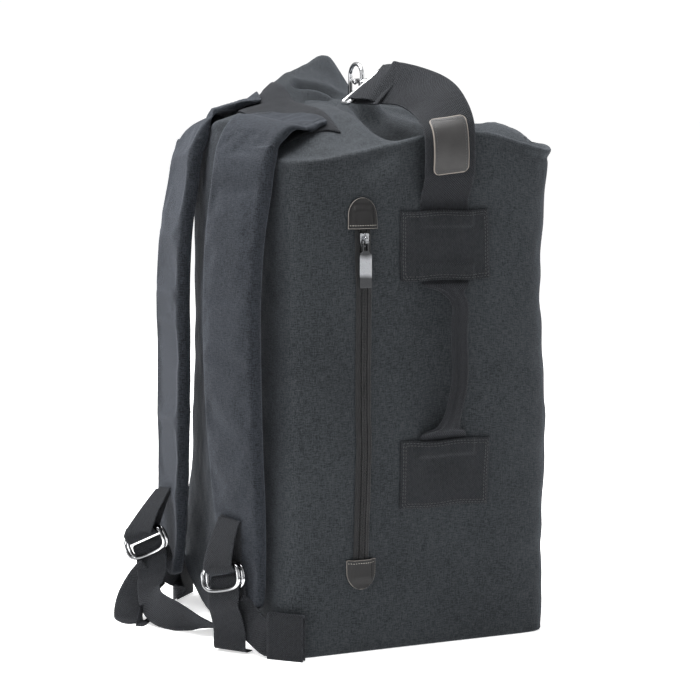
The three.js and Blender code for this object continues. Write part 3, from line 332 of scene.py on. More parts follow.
class Value:
    """A number from a shader socket: Python's operators add Math nodes to its tree."""

    def __init__(self, tree, socket):
        self.tree, self.socket = tree, socket

    def maths(self, operation, *values):
        node = self.tree.nodes.new("ShaderNodeMath")
        node.operation = operation
        for place, value in zip(node.inputs, values):
            feed(self.tree, place, value)
        return Value(self.tree, node.outputs[0])

    def __add__(self, other):
        return self.maths("ADD", self, other)

    def __radd__(self, other):
        return self.maths("ADD", other, self)

    def __sub__(self, other):
        return self.maths("SUBTRACT", self, other)

    def __rsub__(self, other):
        return self.maths("SUBTRACT", other, self)

    def __mul__(self, other):
        return self.maths("MULTIPLY", self, other)

    def __rmul__(self, other):
        return self.maths("MULTIPLY", other, self)

    def __truediv__(self, other):
        return self.maths("DIVIDE", self, other)

    def __rtruediv__(self, other):
        return self.maths("DIVIDE", other, self)

    def __pow__(self, other):
        return self.maths("POWER", self, other)

    def sine(self):
        return self.maths("SINE", self)

    def size(self):
        return self.maths("ABSOLUTE", self)

    def floor(self):
        return self.maths("FLOOR", self)

    def remainder(self, other):
        return self.maths("MODULO", self, other)

    def between(self, low, high):
        """0 below low, 1 above high."""
        return self.maths("MINIMUM", self.maths("MAXIMUM", (self - low) / (high - low), 0), 1)


def feed(tree, place, value):
    if isinstance(value, Value):
        tree.links.new(value.socket, place)
    else:
        place.default_value = value


class Finish:
    """A procedural material round one Principled shader."""

    def __init__(self, name, roughness, **constants):
        self.material = bpy.data.materials.new(name)
        self.material.use_nodes = True
        self.tree = self.material.node_tree
        self.shader = self.tree.nodes["Principled BSDF"]
        self.shader.inputs["Roughness"].default_value = roughness
        for socket, value in constants.items():
            self.shader.inputs[socket.replace("_", " ")].default_value = value
        places = self.tree.nodes.new("ShaderNodeTexCoord")
        self.object = Value(self.tree, places.outputs["Object"])
        self.uv = Value(self.tree, places.outputs["UV"])
        split = self.node("ShaderNodeSeparateXYZ", {}, Vector=self.uv).socket.node
        self.across, self.along = Value(self.tree, split.outputs[0]), Value(self.tree, split.outputs[1])

    def node(self, kind, settings, output=0, **values):
        node = self.tree.nodes.new(kind)
        for name, value in settings.items():
            if name == "stops":
                ramp = node.color_ramp
                while len(ramp.elements) < len(value):
                    ramp.elements.new(1)
                for element, (place, color) in zip(ramp.elements, value):
                    element.position, element.color = place, (*color, 1)
            else:
                setattr(node, name, value)
        for socket, value in values.items():
            feed(self.tree, node.inputs[socket.replace("_", " ")], value)
        return Value(self.tree, node.outputs[output])

    def stretch(self, vector, sizes):
        return self.node("ShaderNodeMapping", {"vector_type": "POINT"}, Vector=vector, Scale=sizes)

    def noise(self, vector, scale, detail=2.0, roughness=0.5):
        values = dict(Vector=vector, Scale=scale, Detail=detail, Roughness=roughness)
        return self.node("ShaderNodeTexNoise", {}, **values)

    def mark(self, name):
        return self.node("ShaderNodeAttribute", {"attribute_name": name}, output=2)

    def blend(self, share, low, high):
        """A colour between two others, each a colour or a socket."""
        node = self.tree.nodes.new("ShaderNodeMix")
        node.data_type = "RGBA"
        feed(self.tree, node.inputs[0], share)
        for place, color in ((node.inputs[6], low), (node.inputs[7], high)):
            feed(self.tree, place, color if isinstance(color, Value) else (*color, 1))
        return Value(self.tree, node.outputs[2])

    def color(self, value):
        feed(self.tree, self.shader.inputs["Base Color"], value)

    def rough(self, value):
        feed(self.tree, self.shader.inputs["Roughness"], value)

    def bump(self, height, distance, strength=1.0):
        bumped = self.node("ShaderNodeBump", {}, Height=height, Distance=distance, Strength=strength)
        feed(self.tree, self.shader.inputs["Normal"], bumped)


def washed_canvas(name, dark, light, worn, thread=0.00075):
    """Plain-woven cotton, dyed and washed: thick and thin yarns, and paler where it is rubbed."""
    sheen = dict(Sheen_Weight=0.1, Sheen_Roughness=0.5, Sheen_Tint=(0.8, 0.86, 1, 1))
    cloth = Finish(name, 0.92, **sheen, Specular_IOR_Level=0.15)
    weft = cloth.noise(cloth.stretch(cloth.uv, (150, 1300, 1)), 1.0, 2.0, 0.6)
    warp = cloth.noise(cloth.stretch(cloth.uv, (1300, 110, 1)), 1.0, 2.0, 0.6)
    grain = cloth.noise(cloth.object, 800, 2.0, 0.7)
    clouds = cloth.noise(cloth.object, 9, 4.0, 0.6)
    over = (cloth.across * (math.pi / thread)).sine()
    under = (cloth.along * (math.pi / thread)).sine()
    weave = (over * under) * 0.5 + 0.5
    tone = (weft - 0.5) * 2.0 + (warp - 0.5) * 1.5 + (grain - 0.5) * 1.8 + (clouds - 0.5) * 0.9 + 0.5
    base = cloth.blend(tone.between(0.05, 0.95), dark, light)
    rubbed = (cloth.mark("wear") * (0.55 + (grain - 0.5) * 1.6 + (warp - 0.5) * 1.2)).between(0.05, 1.0)
    cloth.color(cloth.blend(rubbed, base, worn))
    cloth.rough(0.86 + (clouds - 0.5) * 0.14)
    cloth.bump(weft * 0.9 + warp * 0.7 + weave * 0.45 + grain * 0.5, 0.00045, 0.75)
    return cloth.material


CANVAS = washed_canvas("washed_canvas", (0.0095, 0.0113, 0.013), (0.035, 0.0395, 0.0435), (0.1, 0.107, 0.118))


def sack_rings(angles, ups, ats):
    base = []
    foot = wall_point(angles, 0.0)
    size = np.linalg.norm(foot[:, :2], axis=1)
    for share in np.linspace(0.03, 1, 7):
        inset = share * (1 - BAG["base_round"] / size)
        base.append(np.column_stack([foot[:, 0] * inset, foot[:, 1] * inset, np.zeros(len(angles))]))
    for turn in np.linspace(0, math.pi / 2, 6)[1:-1]:
        inset = 1 - BAG["base_round"] * (1 - math.sin(turn)) / size
        ring = foot * inset[:, None]
        ring[:, 2] = BAG["base_round"] * (1 - math.cos(turn))
        base.append(ring)
    low = BAG["base_round"] / BAG["height"]
    wall = [wall_point(angles, up) for up in low + (1 - low) * ups]
    top = [top_point(angles, at) for at in ats]
    return np.array(base + wall + top)


around_count = 320
turns = np.linspace(0, 360, around_count, endpoint=False)
ups = np.concatenate([np.linspace(0, 0.9, 84), np.linspace(0.9, 1, 26)[1:]])
ats = np.concatenate([np.linspace(0, 0.12, 14)[1:], np.linspace(0.12, 1, 66)[1:]])
sack = sack_rings(turns, ups, ats)
first_wall, first_top = 11, 11 + len(ups)

# Round the corners and the crease a little, as cloth does over nothing hard.
for _ in range(5):
    soft = sack.copy()
    beside = sack[first_wall - 1 : -3] + sack[first_wall + 1 : -1]
    soft[first_wall:-2] += 0.25 * (beside - 2 * sack[first_wall:-2])
    soft[first_wall:] += 0.12 * (np.roll(sack, 1, 1) + np.roll(sack, -1, 1) - 2 * sack)[first_wall:]
    sack = soft
out = normals_of(sack, True)
height_share = np.clip(sack[..., 2] / 60, 0, 1)[..., None]
near_mouth = np.ones(len(sack))
near_mouth[-14:] = np.linspace(1, 0.15, 14)
wrinkles = rumple(sack, 7, ((95, 1.0), (38, 0.5), (17, 0.22))) * near_mouth[:, None]
sack = sack + out * wrinkles[..., None] * height_share

# The seam along the top edge is rolled, and it has been rubbed pale along its length.
seam_rows = np.arange(len(sack)) - first_top
roll = np.exp(-(((seam_rows + 2) / 2.6) ** 2)) - 0.45 * np.exp(-(((seam_rows + 6.5) / 1.4) ** 2))
seam = np.exp(-((seam_rows / 2.2) ** 2))[:, None] * np.ones(around_count)
front_seam = np.exp(-((turn_between(turns, 262) / 46) ** 2)) + 0.35
sack = sack + normals_of(sack, True) * (2.4 * roll[:, None] * front_seam)[..., None]
wear = np.clip(seam * front_seam * 0.5, 0, 1)
corner = np.exp(-((turn_between(turns, 135) / 3.0) ** 2)) + np.exp(-((turn_between(turns, 225) / 3.0) ** 2))
wear += 0.16 * corner[None, :] * (seam_rows < 0)[:, None]

inner = sack[first_wall:][::-1][::6]
inner = inner - normals_of(sack, True)[first_wall:][::-1][::6] * BAG["wall"]
inner_base = inner[-1] * np.array([0.02, 0.02, 0]) + np.array([0, 0, BAG["wall"] + 0.5])
rings = np.concatenate([sack, inner, inner_base[None]])
perimeter = np.linalg.norm(np.diff(np.concatenate([sack[60], sack[60][:1]]), axis=0), axis=1)
girth = np.concatenate([[0], np.cumsum(perimeter)])[:-1]
climb = np.cumsum(np.concatenate([[0], np.linalg.norm(np.diff(rings, axis=0), axis=-1).mean(1)]))
uvs = np.stack(np.broadcast_arrays(girth[None, :], climb[:, None]), -1)
marks = np.concatenate([wear, np.zeros((len(rings) - len(sack), around_count))])
bag = loft("bag_canvas", rings, uvs, {"wear": marks})
bag.data.materials.append(CANVAS)
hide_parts("bag_body")
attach(bag, "bag")

# Band across the shoulder: a length of the broad webbing, sewn down at both ends, on which the two
# straps are fixed. Everything sewn to the bag lies on its cloth, which is found by looking along an axis.
from mathutils.bvhtree import BVHTree

bag_skin = BVHTree.FromObject(bag, bpy.context.evaluated_depsgraph_get())


def top_z(x, y):
    found = bag_skin.ray_cast(Vector((x / 1000, y / 1000, 2)), Vector((0, 0, -1)))[0]
    return found.z * 1000 if found else BAG["height"]


def side_x(y, z):
    found = bag_skin.ray_cast(Vector((-2, y / 1000, z / 1000)), Vector((1, 0, 0)))[0]
    return found.x * 1000 if found else -HALF_X


def cover_z(x, y, reach=4):
    return max(top_z(x + u, y + v) for u, v in ((0, 0), (-reach, 0), (reach, 0), (0, -reach), (0, reach)))


def cover_x(y, z, reach=4):
    return min(side_x(y + u, z + v) for u, v in ((0, 0), (-reach, 0), (reach, 0), (0, -reach), (0, reach)))


def aim(swing, rise):
    """A width direction from its swing round Z and its rise over the level."""
    a, b = math.radians(swing), math.radians(rise)
    return np.array([math.cos(b) * math.cos(a), math.cos(b) * math.sin(a), math.sin(b)])


def route(rows, count):
    """Smooth stops through a few rows whose places are shares of the bag's half sizes and height."""
    rows = [dict(row, i=i) for i, row in enumerate(rows)]
    at = np.linspace(0, len(rows) - 1, count + 1)
    x, y, z = (column(rows, "i", name, at) for name in "xyz")
    swing, rise = column(rows, "i", "swing", at), column(rows, "i", "rise", at)
    places = np.column_stack([HALF_X * x, HALF_Y * y, BAG["height"] * z])
    return [dict(p=p, w=aim(a, b)) for p, a, b in zip(places, swing, rise)]


def run_of(stops, width, spacing=3.0):
    """Close, smooth frames along stops: place, width direction, face direction, distance and width."""
    p = np.array([stop["p"] for stop in stops], float)
    s = lengths(p)
    rows = [
        dict(
            s=a, x=q[0], y=q[1], z=q[2], u=stop["w"][0], v=stop["w"][1], t=stop["w"][2],
            width=stop.get("width", width),
        )
        for a, q, stop in zip(s, p, stops)
    ]
    dense = np.linspace(0, s[-1], max(3, int(s[-1] / spacing)))
    place = np.column_stack([column(rows, "s", k, dense) for k in "xyz"])
    w = np.column_stack([column(rows, "s", k, dense) for k in "uvt"])
    along = np.gradient(place, axis=0)
    along /= np.linalg.norm(along, axis=1, keepdims=True)
    w -= along * (w * along).sum(1, keepdims=True)
    w /= np.linalg.norm(w, axis=1, keepdims=True)
    return dict(p=place, w=w, n=np.cross(along, w), s=lengths(place), width=column(rows, "s", "width", dense))


def strip(name, run, thick, columns=12, lift=None):
    """A strip of webbing with rounded selvages. lift(u, s) moves it off its run along its face."""
    edge = thick * 0.35
    across, layer = [], []
    inside = np.linspace(-0.5, 0.5, columns)
    across += list(inside) + [0.5] * 2 + list(inside[::-1]) + [-0.5] * 2
    layer += [1] * columns + [0.45, -0.45] + [-1] * columns + [-0.45, 0.45]
    inset = np.array([-edge] * columns + [0, 0] + [-edge] * columns + [0, 0])
    across, layer = np.array(across), np.array(layer)
    at_edge = np.abs(across) > 0.49
    us = across[None, :] * run["width"][:, None] + np.sign(across)[None, :] * inset[None, :] * at_edge
    place = run["p"][:, None, :] + run["w"][:, None, :] * us[..., None]
    off = layer[None, :] * thick / 2
    if lift is not None:
        off = off + lift(us, run["s"][:, None] + 0 * us)
    place = place + run["n"][:, None, :] * off[..., None]
    # Nothing sinks into the floor: webbing that reaches it lies flat there, with its own thickness.
    place[..., 2] = np.maximum(place[..., 2], thick * (0.55 + 0.5 * layer)[None, :])
    uvs = np.stack([us, run["s"][:, None] + 0 * us], -1)
    worn = np.clip((np.abs(across) - 0.46) / 0.04, 0, 1)[None, :] * np.ones_like(us)
    return loft(name, place, uvs, {"wear": worn * 0.55})


def ribbed_webbing(name, dark, light, worn, rib=2.1, cord=1.25):
    """Heavy cotton webbing: cross ribs, half a rib out of step from one warp cord to the next."""
    sheen = dict(Sheen_Weight=0.06, Sheen_Roughness=0.5, Sheen_Tint=(0.85, 0.88, 1, 1))
    cloth = Finish(name, 0.9, **sheen, Specular_IOR_Level=0.18)
    cords = cloth.across * (1000 / cord)
    step = cords.floor().remainder(2.0).size()
    ribs = ((cloth.along * (1000 / rib) + step * 0.5) * math.pi).sine().size()
    rows = (cords * math.pi).sine().size()
    yarn = cloth.noise(cloth.stretch(cloth.uv, (900, 260, 1)), 1.0, 2.0, 0.6)
    clouds = cloth.noise(cloth.object, 22, 3.0, 0.6)
    tone = (ribs - 0.5) * 0.7 + (yarn - 0.5) * 1.5 + (clouds - 0.5) * 0.8 + 0.5
    base = cloth.blend(tone.between(0.0, 1.0), dark, light)
    rubbed = (cloth.mark("wear") * (0.4 + (yarn - 0.5) * 1.5)).between(0.05, 1.0)
    cloth.color(cloth.blend(rubbed, base, worn))
    cloth.rough(0.84 + (clouds - 0.5) * 0.14)
    cloth.bump(ribs * 0.85 + rows * 0.35 + yarn * 0.5, 0.0009, 1.0)
    return cloth.material


WEBBING = ribbed_webbing("black_webbing", (0.002, 0.0023, 0.003), (0.019, 0.0208, 0.024), (0.05, 0.053, 0.06))
PATCH_WEBBING = ribbed_webbing(
    "washed_webbing", (0.002, 0.0025, 0.003), (0.023, 0.0256, 0.0287), (0.05, 0.054, 0.06)
)


def sewn_tree():
    """Geometry Nodes: stitches along the lines of a mesh, each a small capsule of thread."""
    tree = bpy.data.node_groups.new("stitches", "GeometryNodeTree")
    face = tree.interface
    face.new_socket("Lines", in_out="INPUT", socket_type="NodeSocketGeometry")
    for name, value in (("Pitch", 0.0035), ("Stitch length", 0.0026), ("Thread", 0.0007)):
        face.new_socket(name, in_out="INPUT", socket_type="NodeSocketFloat").default_value = value
    face.new_socket("Thread finish", in_out="INPUT", socket_type="NodeSocketMaterial")
    face.new_socket("Stitches", in_out="OUTPUT", socket_type="NodeSocketGeometry")
    source, sink = tree.nodes.new("NodeGroupInput"), tree.nodes.new("NodeGroupOutput")
    curve = tree.nodes.new("GeometryNodeMeshToCurve")
    even = tree.nodes.new("GeometryNodeResampleCurve")
    even.mode = "LENGTH"
    bead = tree.nodes.new("GeometryNodeMeshUVSphere")
    bead.inputs["Segments"].default_value, bead.inputs["Rings"].default_value = 6, 4
    size = tree.nodes.new("ShaderNodeCombineXYZ")
    half = tree.nodes.new("ShaderNodeMath")
    half.operation = "MULTIPLY"
    half.inputs[1].default_value = 0.5
    flat = tree.nodes.new("ShaderNodeMath")
    flat.operation = "MULTIPLY"
    flat.inputs[1].default_value = 0.5
    shape = tree.nodes.new("GeometryNodeTransform")
    placed = tree.nodes.new("GeometryNodeInstanceOnPoints")
    tangent = tree.nodes.new("GeometryNodeInputTangent")
    turned = tree.nodes.new("FunctionNodeAlignRotationToVector")
    turned.axis = "Z"
    real = tree.nodes.new("GeometryNodeRealizeInstances")
    finish = tree.nodes.new("GeometryNodeSetMaterial")
    link = tree.links.new
    link(source.outputs["Lines"], curve.inputs["Mesh"])
    link(curve.outputs["Curve"], even.inputs["Curve"])
    link(source.outputs["Pitch"], even.inputs["Length"])
    link(source.outputs["Thread"], flat.inputs[0])
    link(source.outputs["Stitch length"], half.inputs[0])
    link(flat.outputs[0], size.inputs["X"])
    link(flat.outputs[0], size.inputs["Y"])
    link(half.outputs[0], size.inputs["Z"])
    link(bead.outputs["Mesh"], shape.inputs["Geometry"])
    link(size.outputs["Vector"], shape.inputs["Scale"])
    link(even.outputs["Curve"], placed.inputs["Points"])
    link(shape.outputs["Geometry"], placed.inputs["Instance"])
    link(tangent.outputs["Tangent"], turned.inputs["Vector"])
    link(turned.outputs["Rotation"], placed.inputs["Rotation"])
    link(placed.outputs["Instances"], real.inputs["Geometry"])
    link(real.outputs["Geometry"], finish.inputs["Geometry"])
    link(source.outputs["Thread finish"], finish.inputs["Material"])
    link(finish.outputs["Geometry"], sink.inputs["Stitches"])
    return tree


SEWN = sewn_tree()


def thread_finish(name, color):
    thread = Finish(name, 0.75, Sheen_Weight=0.2)
    twist = thread.noise(thread.object, 1600, 1.0, 0.5)
    thread.color(thread.blend(twist.between(0.3, 0.7), tuple(c * 0.6 for c in color), color))
    thread.bump(twist, 0.0002, 0.6)
    return thread.material


DARK_THREAD = thread_finish("black_thread", (0.03, 0.032, 0.037))


def grow(tree, name, lines, inputs):
    """Runs a node tree on a mesh of lines, in millimetres, and keeps the result as a plain mesh."""
    points, edges = [], []
    for line in lines:
        start = len(points)
        points += (np.asarray(line, float) / 1000).tolist()
        edges += [(start + k, start + k + 1) for k in range(len(line) - 1)]
    mesh = bpy.data.meshes.new(name + "_lines")
    mesh.from_pydata(points, edges, [])
    holder = bpy.data.objects.new(name + "_lines", mesh)
    bpy.context.scene.collection.objects.link(holder)
    modifier = holder.modifiers.new("grown", "NODES")
    modifier.node_group = tree
    for socket in tree.interface.items_tree:
        if socket.in_out == "INPUT" and socket.name in inputs:
            modifier[socket.identifier] = inputs[socket.name]
    graph = bpy.context.evaluated_depsgraph_get()
    made = bpy.data.meshes.new_from_object(holder.evaluated_get(graph))
    made.name = name
    piece = bpy.data.objects.new(name, made)
    bpy.context.scene.collection.objects.link(piece)
    bpy.data.objects.remove(holder)
    made.polygons.foreach_set("use_smooth", [True] * len(made.polygons))
    return piece


def sew(name, lines, thread, pitch=3.6, length=2.7, thick=0.75):
    """Rows of stitches along lines that lie just on the cloth."""
    sizes = {"Pitch": pitch / 1000, "Stitch length": length / 1000, "Thread": thick / 1000}
    sizes["Thread finish"] = thread
    piece = grow(SEWN, name, lines, sizes)
    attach(piece, "bag")
    return piece


BAND = dict(width=56, length=190, thick=1.8, y=0.655)
band_stops = []
for x in np.linspace(-0.5, 0.5, 34) * BAND["length"]:
    y = BAND["y"] * HALF_Y
    near, far = cover_z(x, y - 20), cover_z(x, y + 20)
    w = np.array([0, 40, far - near])
    height = max((near + far) / 2, cover_z(x, y)) + 0.6 + BAND["thick"] / 2
    band_stops.append(dict(p=np.array([x, y, height]), w=w / np.linalg.norm(w)))
band_run = run_of(band_stops, BAND["width"])
band_sign = 1 if band_run["n"][:, 2].mean() > 0 else -1


def band_lift(u, s):
    """Keeps the band's edges on the rumpled cloth."""
    off = np.zeros_like(u)
    for j in range(u.shape[0]):
        for i in range(u.shape[1]):
            q = band_run["p"][j] + band_run["w"][j] * u[j, i]
            off[j, i] = band_sign * (top_z(q[0], q[1]) + 0.5 + BAND["thick"] / 2 - q[2])
    return off


band = strip("shoulder_band", band_run, BAND["thick"], columns=10, lift=band_lift)
band.data.materials.append(WEBBING)
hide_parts("anchor_band")
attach(band, "bag")

# Shoulder straps: foam between two long canvas panels with a side wall sewn in between, so that each
# has a seam along both front edges. They taper at the foot, where the webbing tab goes in.
PAD = dict(width=80, thick=15)
STRAP = [
    dict(x=0.612, y=1.13, z=0.088, width=0.42, thick=0.5, swing=9, rise=0, lay=0),
    dict(x=0.612, y=1.132, z=0.104, width=0.66, thick=0.62, swing=9, rise=0, lay=0),
    dict(x=0.61, y=1.135, z=0.145, width=0.78, thick=0.7, swing=9, rise=0, lay=0),
    dict(x=0.605, y=1.155, z=0.27, width=0.88, thick=0.95, swing=9, rise=0, lay=0),
    dict(x=0.595, y=1.185, z=0.43, width=0.96, thick=1, swing=9, rise=0, lay=0),
    dict(x=0.59, y=1.2, z=0.58, width=1, thick=1, swing=9, rise=0, lay=0),
    dict(x=0.59, y=1.2, z=0.7, width=1, thick=1, swing=9, rise=0, lay=0),
    dict(x=0.585, y=1.175, z=0.82, width=1, thick=1, swing=10, rise=2, lay=0),
    dict(x=0.575, y=1.125, z=0.915, width=1, thick=1, swing=11, rise=3, lay=0),
    dict(x=0.56, y=1.07, z=0.997, width=1, thick=0.95, swing=12, rise=4, lay=0),
    dict(x=0.525, y=0.945, z=1.052, width=1, thick=0.8, swing=14, rise=6, lay=0.3),
    dict(x=0.465, y=0.785, z=1.074, width=1, thick=0.6, swing=17, rise=9, lay=0.8),
    dict(x=0.4, y=0.62, z=1.08, width=0.94, thick=0.28, swing=19, rise=14, lay=1),
]
SIDES = [dict(name="left", side=-1, flare=0, swing=5), dict(name="right", side=1, flare=0.14, swing=-6)]
# The straps' canvas is the bag's washed canvas, a little bluer; it is made darker than the bag's as painted
# shade on the straps.
STRAP_CANVAS_PAINTED_SHADE = washed_canvas(
    "padded_canvas_painted_shade", (0.006, 0.0072, 0.0092), (0.026, 0.03, 0.037), (0.085, 0.092, 0.105)
)


def strap_rows(strap, at):
    rows = [dict(row, i=i) for i, row in enumerate(STRAP)]
    names = ("x", "y", "z", "width", "thick", "swing", "rise", "lay")
    read = {name: column(rows, "i", name, at) for name in names}
    low = np.maximum(0, 1 - read["z"] / 0.62) ** 1.6
    w = np.array([aim(a + strap["swing"], b) for a, b in zip(read["swing"], read["rise"])])
    side = strap["side"]
    return dict(
        p=np.column_stack([
            side * HALF_X * read["x"],
            HALF_Y * (read["y"] + strap["flare"] * low),
            BAG["height"] * read["z"],
        ]),
        w=np.column_stack([-side * w[:, 0], w[:, 1], w[:, 2]]),
        width=PAD["width"] * read["width"],
        thick=PAD["thick"] * read["thick"],
        lay=smooth(read["lay"]),
    )


# The strap's section, edge to edge over the front and back again: front panel, seam, side wall, back.
front = [(u, 0.5 - 0.06 * abs(2 * u) ** 3) for u in np.linspace(-0.455, 0.455, 17)]
right_wall = [
    (0.475, 0.4), (0.488, 0.36), (0.5, 0.2), (0.503, 0), (0.498, -0.22), (0.485, -0.38), (0.47, -0.43)
]
back = [(u, -0.5 + 0.04 * abs(2 * u) ** 3) for u in np.linspace(0.44, -0.44, 13)]
SECTION = np.array(front + right_wall + back + [(-u, h) for u, h in right_wall[::-1]])
front_seams = [17, 18, len(SECTION) - 1, len(SECTION) - 2]
back_seams = [22, 23, len(SECTION) - 6, len(SECTION) - 7]
TAB_TOP = 0.268 * BAG["height"]
# Where a strap lies on the folded top: its gaps to the band, and how far a point may come down to it,
# which is further on the last rows because they end flat.
LYING = dict(under_band=0.5, over_band=0.6, drop=14, end_drop=40)


def puff(piece, pins, pressure, cap):
    """Fills a sewn shell with Blender's cloth under pressure, holding its seams."""
    rest = np.array([v.co for v in piece.data.vertices])
    piece.vertex_groups.new(name="sewn").add([int(k) for k in pins], 1.0, "REPLACE")
    cloth = piece.modifiers.new("cloth", "CLOTH")
    cloth.settings.quality = 6
    cloth.settings.mass = 0.25
    cloth.settings.tension_stiffness = cloth.settings.compression_stiffness = 20
    cloth.settings.shear_stiffness = 12
    cloth.settings.bending_stiffness = 0.6
    cloth.settings.use_pressure = True
    cloth.settings.uniform_pressure_force = pressure
    cloth.settings.shrink_min = -0.012
    cloth.settings.vertex_group_mass = "sewn"
    cloth.settings.effector_weights.gravity = 0
    cloth.point_cache.frame_start, cloth.point_cache.frame_end = 1, 20
    for number in range(1, 21):
        bpy.context.scene.frame_set(number)
    filled = piece.evaluated_get(bpy.context.evaluated_depsgraph_get())
    moved = np.array([v.co for v in filled.data.vertices]) - rest
    size = np.linalg.norm(moved, axis=1, keepdims=True)
    moved *= np.minimum(1, cap / 1000 / np.maximum(size, 1e-9))
    piece.modifiers.remove(cloth)
    piece.vertex_groups.clear()
    bpy.context.scene.frame_set(1)
    piece.data.vertices.foreach_set("co", (rest + moved).astype(np.float32).ravel())
    piece.data.update()


strap_seams = []
for strap in SIDES:
    rows = strap_rows(strap, np.linspace(0, len(STRAP) - 1, 150))
    along = np.gradient(rows["p"], axis=0)
    along /= np.linalg.norm(along, axis=1, keepdims=True)
    out = np.cross(rows["w"], along) * (1 if strap["side"] < 0 else -1)
    out /= np.linalg.norm(out, axis=1, keepdims=True)
    u = SECTION[:, 0][None, :] * rows["width"][:, None]
    h = SECTION[:, 1][None, :] * rows["thick"][:, None]
    # The front panel is drawn in round the tab, and stands up on both sides of it.
    at_tab = smooth((TAB_TOP - rows["p"][:, 2]) / 16)[:, None]
    on_front = (SECTION[:, 1] > 0.3)[None, :]
    groove = 5.5 * smooth((20 - np.abs(u)) / 5)
    lips = 2.6 * np.exp(-(((np.abs(u) - 22) / 4) ** 2))
    h = h + on_front * at_tab * (lips - groove) * np.minimum(1, rows["thick"] / 12)[:, None]
    # A pleat of the front panel hangs over the tab's upper end like a small hood.
    hood = np.exp(-(((rows["p"][:, 2] - TAB_TOP - 5) / 5) ** 2))[:, None] * smooth((27 - np.abs(u)) / 9)
    h = h + on_front * 3.4 * hood
    place = rows["p"][:, None, :] + rows["w"][:, None, :] * u[..., None] + out[:, None, :] * h[..., None]
    for j in np.flatnonzero(rows["lay"] > 0):
        drop = LYING["drop"] if rows["lay"][j] < 0.9 else LYING["end_drop"]
        for i in range(len(SECTION)):
            x, y, z = place[j, i]
            under = top_z(x, y) + LYING["under_band"] + BAND["thick"] + LYING["over_band"]
            under = under + h[j, i] + 0.5 * rows["thick"][j]
            place[j, i, 2] += under - z if under > z else max(under - z, -drop) * rows["lay"][j]
    s = lengths(rows["p"])
    around = np.concatenate([[0], np.cumsum(np.hypot(*np.diff(SECTION * [80, 15], axis=0).T))])
    uvs = np.stack(np.broadcast_arrays(around[None, :], s[:, None]), -1)
    worn = np.zeros(u.shape)
    worn[:, front_seams] = 0.55
    piece = loft("padded_strap_" + strap["name"], place, uvs, {"wear": worn})
    count = len(SECTION)
    pins = [j * count + i for j in range(len(s)) for i in front_seams + back_seams]
    pins += list(range(count)) + list(range((len(s) - 1) * count, len(s) * count))
    laid = [j * count + i for j in np.flatnonzero(rows["lay"] > 0.05) for i in range(24, count - 7)]
    tab_rows = np.flatnonzero(rows["p"][:, 2] < TAB_TOP)
    pinned_tab = [j * count + i for j in tab_rows for i in range(17) if abs(u[j, i]) < 20]
    if settled:
        puff(piece, pins + laid + pinned_tab, 1.2, 2.2)
    finer = piece.modifiers.new("rounded", "SUBSURF")
    finer.levels = finer.render_levels = 1
    piece.data.materials.append(STRAP_CANVAS_PAINTED_SHADE)
    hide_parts("shoulder_strap_" + strap["name"])
    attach(piece, "bag")
    co = np.array([v.co for v in piece.data.vertices]).reshape(len(s), count, 3) * 1000
    for k, inward in ((16, 14), (0, 2)):
        direction = co[:, inward] - co[:, k]
        direction /= np.linalg.norm(direction, axis=1, keepdims=True)
        strap_seams.append(co[4:-1, k] + direction[4:-1] * 2.2 + out[4:-1] * 0.15)
sew("strap_stitches", strap_seams, DARK_THREAD, pitch=4.0, length=2.9, thick=0.7)

# Rings, tabs and adjusters at the foot of the straps: two nickel rings hang in each doubled webbing
# tab, and the narrow webbing climbs out of its corner loop, passes over the inner ring and hangs down.
CLEAR = 0.4
NARROW = dict(width=34, thick=1.8)
RING = dict(wire=3.5, width=43, drop=24, apart=7, squareness=3.2)
LOOP = dict(height=43, width=36, gap=2.8)
# An adjuster turns over this far above its ring's lower bars.
BIGHT = 8.6
RINGS = [
    dict(x=-0.618, y=1.29, z=0.18, swing=31, rise=-14, down=(-0.1, 0.12, -1)),
    dict(x=0.56, y=1.474, z=0.1845, swing=226, rise=26, down=(0.06, 0.1, -1)),
]
RISERS = [
    [
        dict(x=-0.76, y=1.13, z=0.06, swing=211, rise=80),
        dict(x=-0.7, y=1.17, z=0.082, swing=211, rise=50),
        dict(x=-0.655, y=1.225, z=0.1, swing=211, rise=20),
    ],
    [
        dict(x=0.82, y=1.09, z=0.07, swing=226, rise=82),
        dict(x=0.68, y=1.22, z=0.095, swing=226, rise=56),
        dict(x=0.575, y=1.35, z=0.112, swing=226, rise=28),
    ],
]
TAILS = [
    [
        dict(x=-0.655, y=1.3, z=0.1, swing=33, rise=-10),
        dict(x=-0.645, y=1.255, z=0.05, swing=39, rise=0),
        dict(x=-0.64, y=1.25, z=0.014, swing=39, rise=0),
        dict(x=-0.622, y=1.228, z=0.0034, swing=39, rise=0),
        dict(x=-0.585, y=1.165, z=0.003, swing=39, rise=0),
    ],
    [
        dict(x=0.47, y=1.43, z=0.1, swing=46, rise=-26),
        dict(x=0.4, y=1.47, z=0.062, swing=40, rise=-42),
        dict(x=0.22, y=1.48, z=0.042, swing=30, rise=-62),
        dict(x=0.02, y=1.4, z=0.033, swing=10, rise=-62),
        dict(x=-0.08, y=1.27, z=0.021, swing=0, rise=-32),
        dict(x=-0.1, y=1.14, z=0.01, swing=0, rise=-10),
    ],
]
FOLDED_END = [
    dict(x=0.482, y=1.4175, z=0.1, swing=226, rise=24),
    dict(x=0.56, y=1.49, z=0.068, swing=225, rise=12),
    dict(x=0.58, y=1.555, z=0.036, swing=224, rise=6),
    dict(x=0.51, y=1.585, z=0.012, swing=222, rise=3),
    dict(x=0.43, y=1.565, z=0.004, swing=220, rise=0),
    dict(x=0.34, y=1.49, z=0.0034, swing=220, rise=0),
]


